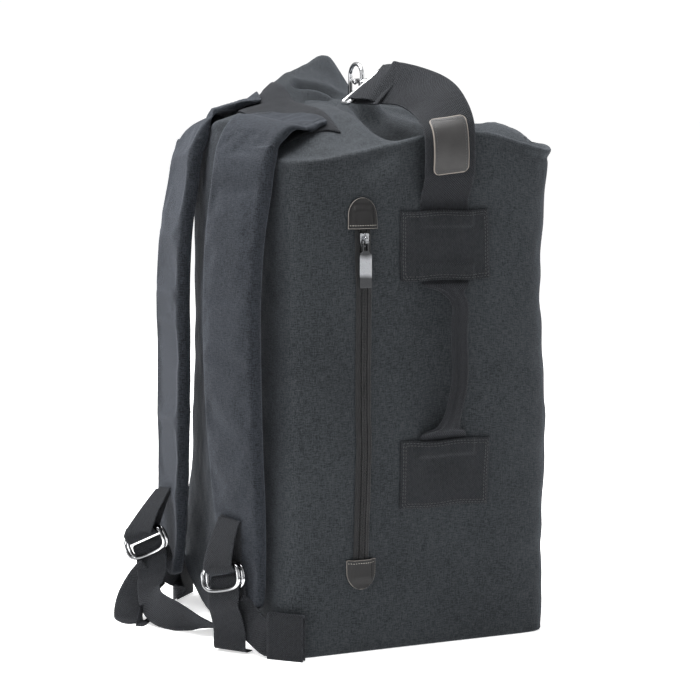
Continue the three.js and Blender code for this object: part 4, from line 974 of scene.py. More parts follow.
def plated(name, color, roughness, dark, shift=0.0):
    """Polished plate with faint wiping marks, and a painted reflection: bands of the colour and of the colour
    times dark, along its height.
    """
    metal = Finish(name, roughness, Metallic=1.0)
    smear = metal.noise(metal.object, 60, 3.0, 0.6)
    fine = metal.noise(metal.object, 900, 2.0, 0.6)
    # Painted reflection: broad dark and bright bands in the colour, by height and noise, stand in for the dim
    # and the lit surroundings seen in polished metal.
    level = metal.node("ShaderNodeSeparateXYZ", {}, output=2, Vector=metal.object)
    painted_reflection = ((level * 190 + shift).sine() * 0.5 + metal.noise(metal.object, 46, 1.0, 0.4)) * 0.5 + 0.25
    metal.color(metal.blend(painted_reflection.between(0.4, 0.58), tuple(c * dark for c in color), color))
    metal.rough(roughness + (smear - 0.5) * 0.16)
    metal.bump(fine, 0.00004, 0.35)
    return metal.material


# The rings, hook, staple and eyelet: polished nickel whose colour holds painted reflection bands, the dark
# ones at 0.25 of its colour.
NICKEL = plated("polished_nickel", (0.74, 0.75, 0.77), 0.17, 0.25)


def show(piece, finish, node, body="bag"):
    """Gives a made piece its finish and puts it in its CAD node's place."""
    piece.data.materials.clear()
    piece.data.materials.append(finish)
    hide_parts(node)
    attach(piece, body)
    return piece


def unit(v):
    return v / np.linalg.norm(v)


def tube(name, points, diameter, sides=16, closed=False):
    """A round wire along points; its diameter is one number or one a point."""
    points = np.asarray(points, float)
    along = np.roll(points, -1, 0) - np.roll(points, 1, 0) if closed else np.gradient(points, axis=0)
    along /= np.linalg.norm(along, axis=1, keepdims=True)
    guide = np.array([0, 0, 1.0]) if abs(along[0, 2]) < 0.9 else np.array([1.0, 0, 0])
    size = np.broadcast_to(np.asarray(diameter, float) / 2, (len(points),))
    t = np.linspace(0, 2 * math.pi, sides, endpoint=False)
    rings = []
    for p, a, r in zip(points, along, size):
        e = unit(guide - a * guide.dot(a))
        guide = e
        f = np.cross(a, e)
        rings.append(p + r * (np.cos(t)[:, None] * e + np.sin(t)[:, None] * f))
    return loft(name, rings, closed=closed)


def on_strap(strap, z, lift):
    rows = strap_rows(strap, np.linspace(0, len(STRAP) - 1, 121))
    j = int(np.argmax(rows["p"][:, 2] >= z))
    w = unit(np.array([rows["w"][j, 0], rows["w"][j, 1], 0])) * -strap["side"]
    return dict(p=rows["p"][j] + np.array([0, rows["thick"][j] / 2 + lift, 0]), w=w)


def turn_round(centre, w, start, over, radius, count=12):
    return [
        dict(p=centre + start * radius * math.cos(t) + over * radius * math.sin(t), w=w)
        for t in np.linspace(0, math.pi, count + 1)
    ]


def halfway(a, b, lift):
    return dict(p=(a["p"] + b["p"]) / 2 + np.array([0, lift, 0]), w=unit(a["w"] + b["w"]))


def corner_at(side):
    diagonal = math.degrees(math.atan2(HALF_Y, HALF_X))
    angle = 180 - diagonal if side < 0 else diagonal
    foot = [wall_point(angle, up) for up in np.linspace(0, LOOP["height"] / BAG["height"], 5)]
    reach = max(np.linalg.norm(p[:2]) for p in foot) + CLEAR
    out = np.array([math.cos(math.radians(angle)), math.sin(math.radians(angle)), 0])
    return dict(out=out, w=np.array([-side * out[1], abs(out[0]), 0]), foot=out * reach)


def in_sense(stops, w):
    return [dict(stop, w=-stop["w"] if stop["w"].dot(w) < 0 else stop["w"]) for stop in stops]


def webbing_piece(
    name, stops, node, width=NARROW["width"], thick=NARROW["thick"], finish=WEBBING, lift=None, columns=12
):
    return show(strip(name, run_of(stops, width, 1.6), thick, columns, lift), finish, node)


UP = np.array([0, 0, 1.0])
for k, strap in enumerate(SIDES):
    side = strap["name"]
    row = RINGS[k]
    w = aim(row["swing"], row["rise"])
    down = np.array(row["down"], float)
    down = unit(down - w * down.dot(w))
    out = unit(np.cross(w, down))
    out = -out if out[1] < 0 else out
    bar = np.array([row["x"] * HALF_X, row["y"] * HALF_Y, row["z"] * BAG["height"]])
    low = bar + down * RING["drop"]
    t = np.linspace(0, 2 * math.pi, 128, endpoint=False)
    power = 2 / RING["squareness"]
    across = RING["width"] / 2 * np.sign(np.cos(t)) * np.abs(np.cos(t)) ** power
    fall = RING["drop"] / 2 * np.sign(np.sin(t)) * np.abs(np.sin(t)) ** power
    for place, shift in (("inner", -RING["apart"] / 2), ("outer", RING["apart"] / 2)):
        middle = bar + down * RING["drop"] / 2 + out * shift
        path = middle + across[:, None] * w + fall[:, None] * down
        # A faint bow of the long sides, as bent wire has.
        path = path + out * (0.9 * np.cos(2 * t))[:, None]
        ring = tube(f"ring_wire_{side}_{place}", path, RING["wire"], 16, True)
        show(ring, NICKEL, f"ring_{side}_{place}")

    layer = NARROW["thick"] + CLEAR
    wide = RING["apart"] / 2 + RING["wire"] / 2 + 3 * CLEAR + NARROW["thick"] / 2
    upper = on_strap(strap, 0.265 * BAG["height"], CLEAR + NARROW["thick"] / 2 + layer)
    lower = on_strap(strap, 0.262 * BAG["height"], CLEAR + NARROW["thick"] / 2)
    front_turn = turn_round(bar, w, out, down, wide)
    upper, lower = in_sense([upper, lower], w)
    tab = [upper, halfway(upper, front_turn[0], 1.5), *front_turn, halfway(front_turn[-1], lower, 0.4), lower]
    webbing_piece("webbing_tab_" + side, tab, "strap_tab_" + side)

    corner = corner_at(strap["side"])
    stand = NARROW["thick"] / 2
    fold = LOOP["gap"] / 2 + stand
    inside = corner["foot"] + corner["out"] * stand
    outside = inside + corner["out"] * 2 * fold
    fold_at = inside + corner["out"] * fold
    fold_at = fold_at * np.array([1, 1, 0]) + UP * (LOOP["height"] - fold)
    at = lambda p, z: dict(p=np.array([p[0], p[1], z]), w=corner["w"])
    stops = [at(inside, CLEAR), at(inside, LOOP["height"] / 2)]
    stops += turn_round(fold_at, corner["w"], -corner["out"], UP, fold)
    stops += [at(outside, LOOP["height"] / 2), at(outside, CLEAR)]
    webbing_piece("base_loop_" + side, stops, "corner_loop_" + side, LOOP["width"])

    radius = RING["wire"] / 2 + 2 * CLEAR + NARROW["thick"] / 2 + 1.1
    turn_at = low - out * (RING["apart"] / 2 + 0.9) - down * 0.4
    bight = turn_round(turn_at - down * BIGHT, w, -out, -down, radius)
    behind, before = (dict(p=turn_at + out * to * radius, w=w) for to in (-1, 1))
    turn = [behind, *bight, before]
    in_loop = corner["foot"] + corner["out"] * (NARROW["thick"] + LOOP["gap"] / 2)
    flat, lifted = np.array([1, 1, 0]), UP * (NARROW["width"] / 2 + 2)
    rise_from = [
        dict(p=(in_loop + corner["w"] * share * LOOP["width"]) * flat + lifted, w=UP)
        for share in (0, 0.5, 0.56)
    ]
    riser = route(RISERS[k], 6)
    turn = in_sense(turn, riser[-1]["w"])
    tail = in_sense(route(TAILS[k], 10), turn[0]["w"])
    webbing_piece("adjuster_webbing_" + side, [*rise_from, *riser, *turn, *tail], "adjuster_" + side)
webbing_piece("adjuster_fold_right", route(FOLDED_END, 10), "adjuster_end_right")

# Patches, carry handle and sling on the side with the zip: broad ribbed webbing folded to a round grip
# between two sewn patches, and a sling that comes out from under the upper one and goes over the top.
BROAD = dict(width=50, thick=1.8)
PATCH = dict(width=91, height=64, thick=1.8, y=-0.17, top=0.811, bottom=0.355, tuck=12)
GRIP = dict(width=16, thick=8, stand_off=24, end_width=48)
GRIP_ROWS = [
    dict(up=0, out=0, bend=3, width=1, thick=0),
    dict(up=0.075, out=0, bend=3, width=1, thick=0),
    dict(up=0.11, out=0.16, bend=3, width=0.86, thick=0.15),
    dict(up=0.15, out=0.5, bend=2, width=0.2, thick=0.9),
    dict(up=0.25, out=0.86, bend=0, width=0, thick=1),
    dict(up=0.45, out=1, bend=-4, width=0, thick=1),
    dict(up=0.65, out=0.98, bend=-3, width=0, thick=1),
    dict(up=0.8, out=0.8, bend=-6, width=0, thick=1),
    dict(up=0.87, out=0.45, bend=-2, width=0.25, thick=0.85),
    dict(up=0.9, out=0.16, bend=0, width=0.9, thick=0.15),
    dict(up=0.925, out=0, bend=0, width=1, thick=0),
    dict(up=1, out=0, bend=0, width=1, thick=0),
]


def on_wall(name, y, z, lift, thick, marks=None, edge=0.35):
    """A sewn-on piece over the side of the bag: y and z are grids, lift is its underside's height."""
    y, z, lift, thick = (np.broadcast_to(np.asarray(v, float), np.shape(y)) for v in (y, z, lift, thick))
    wall = np.array([[cover_x(a, b, 3) for a, b in zip(row_y, row_z)] for row_y, row_z in zip(y, z)])
    m = y.shape[1]
    round_edge = np.ones(m)
    round_edge[[0, -1]] = 1 - edge
    top = np.stack([wall - lift - thick * round_edge, y, z], -1)
    low = np.stack([wall - lift, y, z], -1)
    rings = np.concatenate([top, low[:, ::-1]], axis=1)
    uvs = np.concatenate([np.stack([y, z], -1), np.stack([y, z], -1)[:, ::-1]], axis=1)
    full = {key: np.concatenate([v, np.asarray(v)[:, ::-1] * 0], axis=1) for key, v in (marks or {}).items()}
    return loft(name, rings, uvs, full)


def edge_marks(u, v, inset, strength=0.7):
    """1 on the rim of a grid whose sides run from -1 to 1."""
    near = np.maximum(np.abs(u), np.abs(v))
    return strength * np.clip((near - inset) / (1 - inset), 0, 1)


def patch_piece(name, middle, node, top=False, bottom=False):
    tall, half = PATCH["height"] / 2, PATCH["width"] / 2
    u, v = np.meshgrid(np.linspace(-1, 1, 66), np.linspace(-1, 1, 48))
    hump = BROAD["width"] / 2 + 1.5
    across = np.clip((hump + 4 - np.abs(u * half)) / 4, 0, 1)
    over = np.zeros_like(u)
    if top:
        over = np.maximum(over, smooth((v * tall - tall + PATCH["tuck"] + 5) / 4))
    if bottom:
        over = np.maximum(over, smooth((-v * tall - tall + PATCH["tuck"] + 5) / 4))
    lift = 0.5 + (BROAD["thick"] + CLEAR) * smooth(across) * over
    # Sewn down round its edge, so its middle stands up a little between the stitches.
    lift = lift + 0.5 * np.clip(1 - np.maximum(np.abs(u), np.abs(v)) ** 8, 0, 1)
    waver = 0.7 * np.sin(u * 5 + middle * 9)
    y = PATCH["y"] * HALF_Y + u * half
    z = middle * BAG["height"] + v * tall + waver * np.abs(v)
    marks = {"wear": edge_marks(u, v, 0.95, 0.25)}
    piece = on_wall(name, y, z, lift, PATCH["thick"], marks)
    show(piece, PATCH_WEBBING, node)
    lines = []
    for inset in (0.93, 0.86):
        path = []
        sides = (((-1, -1), (1, -1)), ((1, -1), (1, 1)), ((1, 1), (-1, 1)), ((-1, 1), (-1, -1)))
        for (a, b), (c, d) in sides:
            path += [(a + (c - a) * s, b + (d - b) * s) for s in np.linspace(0, 1, 26)[:-1]]
        path.append(path[0])
        line = []
        for a, b in path:
            yy = PATCH["y"] * HALF_Y + a * (half - half * (1 - inset) * 0.7)
            waved = 0.7 * math.sin(a * 5 + middle * 9) * abs(b)
            zz = middle * BAG["height"] + b * (tall - tall * (1 - inset)) + waved
            j = min(47, max(0, round((b * inset + 1) / 2 * 47)))
            i = min(65, max(0, round((a * inset + 1) / 2 * 65)))
            line.append((cover_x(yy, zz, 3) - lift[j, i] - PATCH["thick"] - 0.1, yy, zz))
        lines.append(line)
    return lines


patch_lines = patch_piece("side_patch_top", PATCH["top"], "patch_top", True, True)
patch_lines += patch_piece("side_patch_bottom", PATCH["bottom"], "patch_bottom", True)
sew("patch_stitches", patch_lines, DARK_THREAD, pitch=3.4, length=2.5, thick=0.7)

# The grip's section: a webbing folded in three, so it is flat behind and has one free edge in front.
grip_section = []
for t in np.linspace(0, 2 * math.pi, 44, endpoint=False):
    c, s = math.cos(t), math.sin(t)
    grip_section.append((0.5 * np.sign(c) * abs(c) ** 0.62, 0.5 * np.sign(s) * abs(s) ** 0.7))
grip_section = np.array(grip_section)
low = PATCH["bottom"] * BAG["height"] + PATCH["height"] / 2 - PATCH["tuck"]
high = PATCH["top"] * BAG["height"] - PATCH["height"] / 2 + PATCH["tuck"]
grip_table = [dict(row, i=i) for i, row in enumerate(GRIP_ROWS)]
rings, uvs, worn = [], [], []
for i in np.linspace(0, len(GRIP_ROWS) - 1, 190):
    read = {name: float(column(grip_table, "i", name, i)) for name in ("up", "out", "bend", "width", "thick")}
    flatness = 1 - min(1, max(0, read["thick"]))
    y, z = PATCH["y"] * HALF_Y + read["bend"], low + (high - low) * read["up"]
    width = GRIP["width"] + (GRIP["end_width"] - GRIP["width"]) * min(1, max(0, read["width"]))
    thick = BROAD["thick"] + (GRIP["thick"] - BROAD["thick"]) * (1 - flatness)
    off = CLEAR + BROAD["thick"] / 2
    off += (GRIP["stand_off"] - off) * min(1, max(0, read["out"]))
    middle = side_x(y, z)
    ring, uv = [], []
    for u, h in grip_section:
        level = np.sign(h) * min(abs(h) * (1 + flatness), 0.5)
        wall = cover_x(y + u * width, z, 3) * flatness + middle * (1 - flatness)
        # The free edge of the fold in front, and the V folds where the webbing is drawn together.
        step = 0.9 * (1 - flatness) * (1 if (h > 0 and u > 0.18) else 0)
        drawn = math.exp(-(((read["width"] - 0.5) / 0.4) ** 2)) if 0.07 < read["up"] < 0.93 else 0
        pleat = 1.5 * drawn * math.cos(u * 5 * math.pi) * (1 if h > 0 else 0.4)
        ring.append((wall - off - level * thick + step - pleat, y + u * width, z))
        uv.append((u * BROAD["width"] + (60 if h < 0 else 0), z))
    rings.append(ring)
    uvs.append(uv)
    worn.append([0.5 if 0.15 < u < 0.2 and h > 0 else 0.0 for u, h in grip_section])
handle = loft("grip_webbing", rings, uvs, {"wear": worn})
show(handle, WEBBING, "carry_handle")

# The sling's stops: from under the top patch, off the crease in an arch, and round the bar of the hook.
SNAP = dict(loop_width=58, loop_depth=15, wire=4, barrel=8, eye=14, hook_wire=5, gate_wire=3.2)
SLING = [
    dict(x=-1.116, y=-0.169, z=0.945, swing=90, rise=0),
    dict(x=-1.165, y=-0.15, z=1.0, swing=90, rise=-4),
    dict(x=-1.13, y=-0.15, z=1.045, swing=90, rise=-15),
    dict(x=-0.98, y=-0.16, z=1.082, swing=90, rise=-28),
    dict(x=-0.78, y=-0.165, z=1.107, swing=90, rise=-38),
    dict(x=-0.6, y=-0.1, z=1.123, swing=91, rise=-38),
    dict(x=-0.46, y=0.03, z=1.132, swing=91, rise=-37.3),
]
loop_bar = np.array([-0.349 * HALF_X, 0.066 * HALF_Y, 1.126 * BAG["height"]])
bar_w, bar_up = np.array([0, 0.795, -0.606]), np.array([0, 0.606, 0.795])
patch_edge = PATCH["top"] * BAG["height"] + PATCH["height"] / 2
foot = []
for below in (PATCH["tuck"], 0, -8):
    z = patch_edge - below
    place = np.array([cover_x(PATCH["y"] * HALF_Y, z) - CLEAR - BROAD["thick"] / 2, PATCH["y"] * HALF_Y, z])
    foot.append(dict(p=place, w=np.array([0, 1.0, 0])))
bar_radius = SNAP["wire"] / 2 + CLEAR + BROAD["thick"] / 2
arch = route(SLING, 18)
over_bar = turn_round(loop_bar, bar_w, bar_up, np.array([1.0, 0, 0]), bar_radius)
sewn_back = [dict(p=loop_bar - bar_up * bar_radius + np.array([-b, -b * 0.35, 0]), w=bar_w) for b in (10, 26)]
sling_stops = in_sense([*foot, *arch, *over_bar, *sewn_back], np.array([0, 1.0, 0]))
sling_run = run_of(sling_stops, BROAD["width"], 1.8)
sling_out = 1 if sling_run["n"][20, 0] < 0 else -1


def sling_sag(u, s):
    """Soft waves across heavy webbing that carries no load."""
    return 0.5 * np.sin(s / 23 + u / 14) + 0.35 * np.sin(s / 11 - u / 9 + 1)


show(strip("sling_webbing", sling_run, BROAD["thick"], 22, sling_sag), WEBBING, "sling_strap")


def leather_finish(name, dark, light, edge):
    """Smooth dark leather with a fine grain, and a raw pale edge where it was cut."""
    hide = Finish(name, 0.45, Specular_IOR_Level=0.3)
    clouds = hide.noise(hide.object, 45, 4.0, 0.6)
    pores = hide.node("ShaderNodeTexVoronoi", {"feature": "DISTANCE_TO_EDGE"}, Vector=hide.object, Scale=1300)
    grain = pores.between(0, 0.35)
    base = hide.blend((clouds - 0.5) * 1.4 + 0.5, dark, light)
    cut = (hide.mark("wear") * 1.6 + (clouds - 0.5) * 0.5).between(0.55, 0.95)
    hide.color(hide.blend(cut, base, edge))
    hide.rough(0.4 + (clouds - 0.5) * 0.25 + cut * 0.35)
    hide.bump(grain * 0.6 + clouds * 0.6, 0.0002, 0.6)
    return hide.material


TAG_LEATHER = leather_finish(
    "tag_leather", (0.022, 0.0215, 0.0215), (0.043, 0.0415, 0.041), (0.2, 0.18, 0.16)
)
TAB_LEATHER = leather_finish(
    "tab_leather", (0.004, 0.0039, 0.004), (0.009, 0.0085, 0.0088), (0.2, 0.185, 0.17)
)
PALE_THREAD = thread_finish("pale_thread", (0.36, 0.34, 0.31))
TAG = dict(width=35, thick=1.6, start=0.03, end=0.36)
TAG_CORNER = 5.5
arch_start = lengths(np.array([stop["p"] for stop in sling_stops]))[len(foot)]
arch_end = lengths(np.array([stop["p"] for stop in sling_stops]))[len(foot) + 18]
tag_from, tag_to = (arch_start + (arch_end - arch_start) * TAG[k] for k in ("start", "end"))
fine = np.concatenate([
    tag_from + TAG_CORNER * (1 - np.cos(np.linspace(0, math.pi / 2, 9))),
    np.linspace(tag_from + TAG_CORNER, tag_to - TAG_CORNER, 34)[1:-1],
    tag_to - TAG_CORNER * (1 - np.sin(np.linspace(0, math.pi / 2, 9))),
])
tag_run = {
    key: np.column_stack([np.interp(fine, sling_run["s"], sling_run[key][:, c]) for c in range(3)])
    for key in "pwn"
}
tag_run["s"] = fine
off_end = np.minimum(fine - tag_from, tag_to - fine)
short = TAG_CORNER - np.minimum(off_end, TAG_CORNER)
tag_run["width"] = TAG["width"] - 2 * (TAG_CORNER - np.sqrt(np.maximum(TAG_CORNER**2 - short**2, 0.01)))


def tag_lift(u, s):
    return sling_out * (BROAD["thick"] / 2 + 1.8 * CLEAR + TAG["thick"] / 2) + sling_sag(u, s)


tag = strip("leather_tag", tag_run, TAG["thick"], 26, tag_lift)
edge = np.zeros(len(tag.data.vertices))
per_row = len(edge) // len(fine)
for j in range(len(fine)):
    for i in range(per_row):
        p = np.array(tag.data.vertices[j * per_row + i].co) * 1000 - tag_run["p"][j]
        inward = tag_run["width"][j] / 2 - abs(p.dot(tag_run["w"][j]))
        near = min(inward, off_end[j]) if off_end[j] > TAG_CORNER else inward * 0.8
        edge[j * per_row + i] = max(0, min(1, (1.2 - min(near, off_end[j])) / 0.8))
tag.data.attributes["wear"].data.foreach_set("value", edge.astype(np.float32))
show(tag, TAG_LEATHER, "sling_tag")


def tag_place(u, s):
    p, w, n = (np.array([np.interp(s, fine, tag_run[key][:, c]) for c in range(3)]) for key in "pwn")
    above = BROAD["thick"] / 2 + 1.8 * CLEAR + TAG["thick"] + 0.05
    rise = sling_out * above + float(sling_sag(np.array(u), np.array(s)))
    return p + w * u + n * rise


line = []
for (u0, s0), (u1, s1) in (((-1, 0), (-1, 1)), ((-1, 1), (1, 1)), ((1, 1), (1, 0)), ((1, 0), (-1, 0))):
    inset_u, inset_s = TAG["width"] / 2 - 3.2, (tag_from + 3.2, tag_to - 3.2)
    for step in np.linspace(0, 1, 16)[:-1]:
        u, s = u0 + (u1 - u0) * step, s0 + (s1 - s0) * step
        line.append(tag_place(u * inset_u, inset_s[0] + (inset_s[1] - inset_s[0]) * s))
line.append(line[0])
sew("tag_stitches", [line], DARK_THREAD, pitch=2.6, length=1.7, thick=0.6)

# Snap hook, staple and eyelet, all in polished nickel: a rectangular loop carries the sling, and the
# hook on its swivel holds the near leg of the staple that stands through the eyelet of the mouth.
staple_at = np.array([STAPLE["x"] * HALF_X, STAPLE["y"] * HALF_Y, MOUTH["height"] * BAG["height"] + CLEAR])
near_leg = staple_at + np.array([-(STAPLE["width"] - STAPLE["wire"]) / 2, 0, 17])
hook_out = np.array([1.0, 0, 0])

w2, depth, turn_in = SNAP["loop_width"] / 2, SNAP["loop_depth"], 3.4
path = []
corners = [(-w2, 0), (w2, 0), (w2, depth), (-w2, depth)]
for k, (u, v) in enumerate(corners):
    before, after = np.array(corners[k - 1]), np.array(corners[(k + 1) % 4])
    here = np.array([u, v])
    start, end = here + unit(before - here) * turn_in, here + unit(after - here) * turn_in
    for t in np.linspace(0, 1, 7):
        path.append((1 - t) ** 2 * start + 2 * t * (1 - t) * here + t * t * end)
    following = np.array(corners[(k + 1) % 4]) + unit(here - np.array(corners[(k + 1) % 4])) * turn_in
    path += [end + (following - end) * t for t in np.linspace(0, 1, 12)[1:-1]]
loop_path = [loop_bar + bar_w * u + hook_out * v for u, v in path]
show(tube("snap_loop", loop_path, SNAP["wire"], 16, True), NICKEL, "hook_loop")

swivel = loop_bar + hook_out * (SNAP["loop_depth"] + SNAP["wire"] / 2 + 2 * CLEAR)
reach = float(np.linalg.norm(near_leg - swivel))
hook_along = unit(near_leg - swivel)
hook_across = -unit(np.cross(UP, hook_along))
hook_up = unit(np.cross(hook_along, hook_across))
eye = SNAP["eye"] / 2
hinge_at, gate_end = SNAP["barrel"] + 4, reach - 5


def in_hook(along, across, up=0.0):
    return swivel + hook_along * along + hook_across * across + hook_up * up


radius, wire = SNAP["barrel"] / 2, SNAP["hook_wire"] / 2
nose = reach + eye + wire
hook_rows = [
    dict(along=0, across=0, size=radius * 0.45),
    dict(along=0.9, across=0, size=radius * 0.8),
    dict(along=2.4, across=0, size=radius),
    dict(along=SNAP["barrel"] - 3, across=0, size=radius),
    dict(along=SNAP["barrel"] - 1.5, across=0.4, size=radius * 0.7),
    dict(along=SNAP["barrel"] + 2, across=1.5, size=radius * 1.1),
    dict(along=SNAP["barrel"] + 6, across=eye * 0.72, size=wire),
    dict(along=reach - 6, across=eye, size=wire),
]
hook_rows += [
    dict(along=nose - eye - wire + eye * math.sin(t), across=eye * math.cos(t), size=wire)
    for t in np.linspace(0, math.pi, 9)
]
hook_rows += [dict(along=gate_end + CLEAR, across=-eye, size=wire * 0.9)]
hook_rows = [dict(row, i=i) for i, row in enumerate(hook_rows)]
dense = np.linspace(0, len(hook_rows) - 1, 110)
hook_line = (column(hook_rows, "i", name, dense) for name in ("along", "across"))
places = [in_hook(a, b) for a, b in zip(*hook_line)]
sizes = column(hook_rows, "i", "size", dense) * 2
show(tube("snap_hook", places, sizes, 20), NICKEL, "hook_body")
gate_from, gate_to = in_hook(hinge_at, -eye), in_hook(gate_end, -eye)
gate_points = [gate_from + (gate_to - gate_from) * t for t in np.linspace(0, 1, 14)]
ends = np.sqrt(np.clip(1 - (np.abs(np.linspace(-1, 1, 14)) ** 8) * 0.55, 0, 1))
gate = tube("snap_gate", gate_points, SNAP["gate_wire"] * ends, 16)
show(gate, NICKEL, "hook_gate", "hook_gate")

round_top = (STAPLE["width"] - STAPLE["wire"]) / 2
leg = STAPLE["height"] - STAPLE["wire"] / 2 - round_top * 0.8
staple_path = [(-round_top, z) for z in np.linspace(0, leg, 12)]
staple_path += [
    (-round_top * math.cos(t), leg + round_top * 0.8 * math.sin(t)) for t in np.linspace(0, math.pi, 30)[1:-1]
]
staple_path += [(round_top, z) for z in np.linspace(leg, 0, 12)]
staple = tube("mouth_staple", [staple_at + np.array([x, 0, z]) for x, z in staple_path], STAPLE["wire"], 20)
show(staple, NICKEL, "closure_staple")

long, short = EYELET["length"] / 2, EYELET["width"] / 2
profile = [(EYELET["rim"], 0.05), (0.6, 0.0), (0, 0.22), (0.25, 0.52), (1.1, 0.85)]
profile += [(2.2, 1.0), (3.3, 0.95), (4.2, 0.75), (4.5, 0.5)]
eyelet_rings = [
    [
        staple_at + np.array([(long - d) * math.cos(t), (short - d) * math.sin(t), h * EYELET["thick"]])
        for d, h in profile
    ]
    for t in np.linspace(0, 2 * math.pi, 96, endpoint=False)
]
show(loft("mouth_eyelet", eyelet_rings, closed=True), NICKEL, "closure_eyelet")

# Zip: a dark woven tape with a spiral coil whose turns are grown by Geometry Nodes, leather ends with
# pale raw edges, and a nickel slider from whose bridge a flat pull hangs on a wire eye.
ZIP = dict(y=0.44, top=0.875, bottom=0.165, tape=15, tape_thick=0.9, coil=5, coil_thick=1.4)
TAB = dict(width=29, height=28, thick=1.6)
SLIDER = dict(width=9, height=13, thick=2.6, z=0.826, bridge=2.4)
PULL = dict(width=12, length=33, thick=1.6, eye=9, wire=1.8)
zip_y = ZIP["y"] * HALF_Y
zip_low, zip_high = ZIP["bottom"] * BAG["height"], ZIP["top"] * BAG["height"]


def zip_tape_finish():
    tape = Finish("zip_tape_weave", 0.8, Sheen_Weight=0.12, Specular_IOR_Level=0.3)
    twill = ((tape.across * 2600 + tape.along * 1500) * math.pi).sine().size()
    dirt = tape.noise(tape.object, 120, 2.0, 0.6)
    tape.color(tape.blend(twill * 0.6 + dirt * 0.5 - 0.1, (0.003, 0.003, 0.0035), (0.014, 0.0145, 0.016)))
    tape.bump(twill, 0.0003, 0.6)
    return tape.material


TAPE = zip_tape_finish()
u, z = np.meshgrid(np.linspace(-1, 1, 31), np.linspace(zip_low, zip_high, 150))
# The tape's inner edges are folded back beside the coil, which shows as a ridge and a groove.
fold = 0.55 * np.exp(-(((np.abs(u) - 0.5) / 0.12) ** 2)) - 0.35 * np.exp(-(((np.abs(u) - 0.36) / 0.07) ** 2))
tape_y, tape_thick = zip_y + u * ZIP["tape"] / 2, ZIP["tape_thick"] + fold
tape = on_wall("zip_webbing", tape_y, z, 0.4 + 0 * u, tape_thick, {"wear": 0 * u})
show(tape, TAPE, "zip_tape")

coil_lift = 2 * CLEAR + ZIP["tape_thick"]
tab_inset = (TAB["height"] + 1) * 0.2
coil_low, coil_high = zip_low + tab_inset, zip_high - tab_inset
plastic = Finish("coil_nylon", 0.38, Specular_IOR_Level=0.5)
speckle = plastic.noise(plastic.object, 400, 2.0, 0.5)
plastic.color(plastic.blend(speckle, (0.006, 0.006, 0.0065), (0.02, 0.0205, 0.022)))
COIL = plastic.material


def coil_tree():
    """Geometry Nodes: one turn of the coil on every point, level across the zip."""
    tree = bpy.data.node_groups.new("zip_coil_turns", "GeometryNodeTree")
    face = tree.interface
    face.new_socket("Lines", in_out="INPUT", socket_type="NodeSocketGeometry")
    for name, value in (("Pitch", 0.0014), ("Reach", 0.0024), ("Thread", 0.0008)):
        face.new_socket(name, in_out="INPUT", socket_type="NodeSocketFloat").default_value = value
    face.new_socket("Coil finish", in_out="INPUT", socket_type="NodeSocketMaterial")
    face.new_socket("Turns", in_out="OUTPUT", socket_type="NodeSocketGeometry")
    source, sink = tree.nodes.new("NodeGroupInput"), tree.nodes.new("NodeGroupOutput")
    curve = tree.nodes.new("GeometryNodeMeshToCurve")
    even = tree.nodes.new("GeometryNodeResampleCurve")
    even.mode = "LENGTH"
    bead = tree.nodes.new("GeometryNodeMeshUVSphere")
    bead.inputs["Segments"].default_value, bead.inputs["Rings"].default_value = 8, 6
    size = tree.nodes.new("ShaderNodeCombineXYZ")
    shape = tree.nodes.new("GeometryNodeTransform")
    placed = tree.nodes.new("GeometryNodeInstanceOnPoints")
    real = tree.nodes.new("GeometryNodeRealizeInstances")
    finish = tree.nodes.new("GeometryNodeSetMaterial")
    link = tree.links.new
    link(source.outputs["Lines"], curve.inputs["Mesh"])
    link(curve.outputs["Curve"], even.inputs["Curve"])
    link(source.outputs["Pitch"], even.inputs["Length"])
    link(source.outputs["Thread"], size.inputs["X"])
    link(source.outputs["Reach"], size.inputs["Y"])
    half = tree.nodes.new("ShaderNodeMath")
    half.operation = "MULTIPLY"
    half.inputs[1].default_value = 0.42
    link(source.outputs["Pitch"], half.inputs[0])
    link(half.outputs[0], size.inputs["Z"])
    link(bead.outputs["Mesh"], shape.inputs["Geometry"])
    link(size.outputs["Vector"], shape.inputs["Scale"])
    link(even.outputs["Curve"], placed.inputs["Points"])
    link(shape.outputs["Geometry"], placed.inputs["Instance"])
    link(placed.outputs["Instances"], real.inputs["Geometry"])
    link(real.outputs["Geometry"], finish.inputs["Geometry"])
    link(source.outputs["Coil finish"], finish.inputs["Material"])
    link(finish.outputs["Geometry"], sink.inputs["Turns"])
    return tree


coil_lines = []
for side, shift in ((-1, 0.0), (1, 0.7)):
    line = []
    for z in np.linspace(coil_low + shift, coil_high, 120):
        line.append((cover_x(zip_y, z, 3) - coil_lift - ZIP["coil_thick"] * 0.5, zip_y + side * 1.15, z))
    coil_lines.append(line)
coil_sizes = {"Pitch": 0.0014, "Reach": 0.0014, "Thread": 0.00078, "Coil finish": COIL}
coil = grow(coil_tree(), "coil_turns", coil_lines, coil_sizes)
show(coil, COIL, "zip_coil")


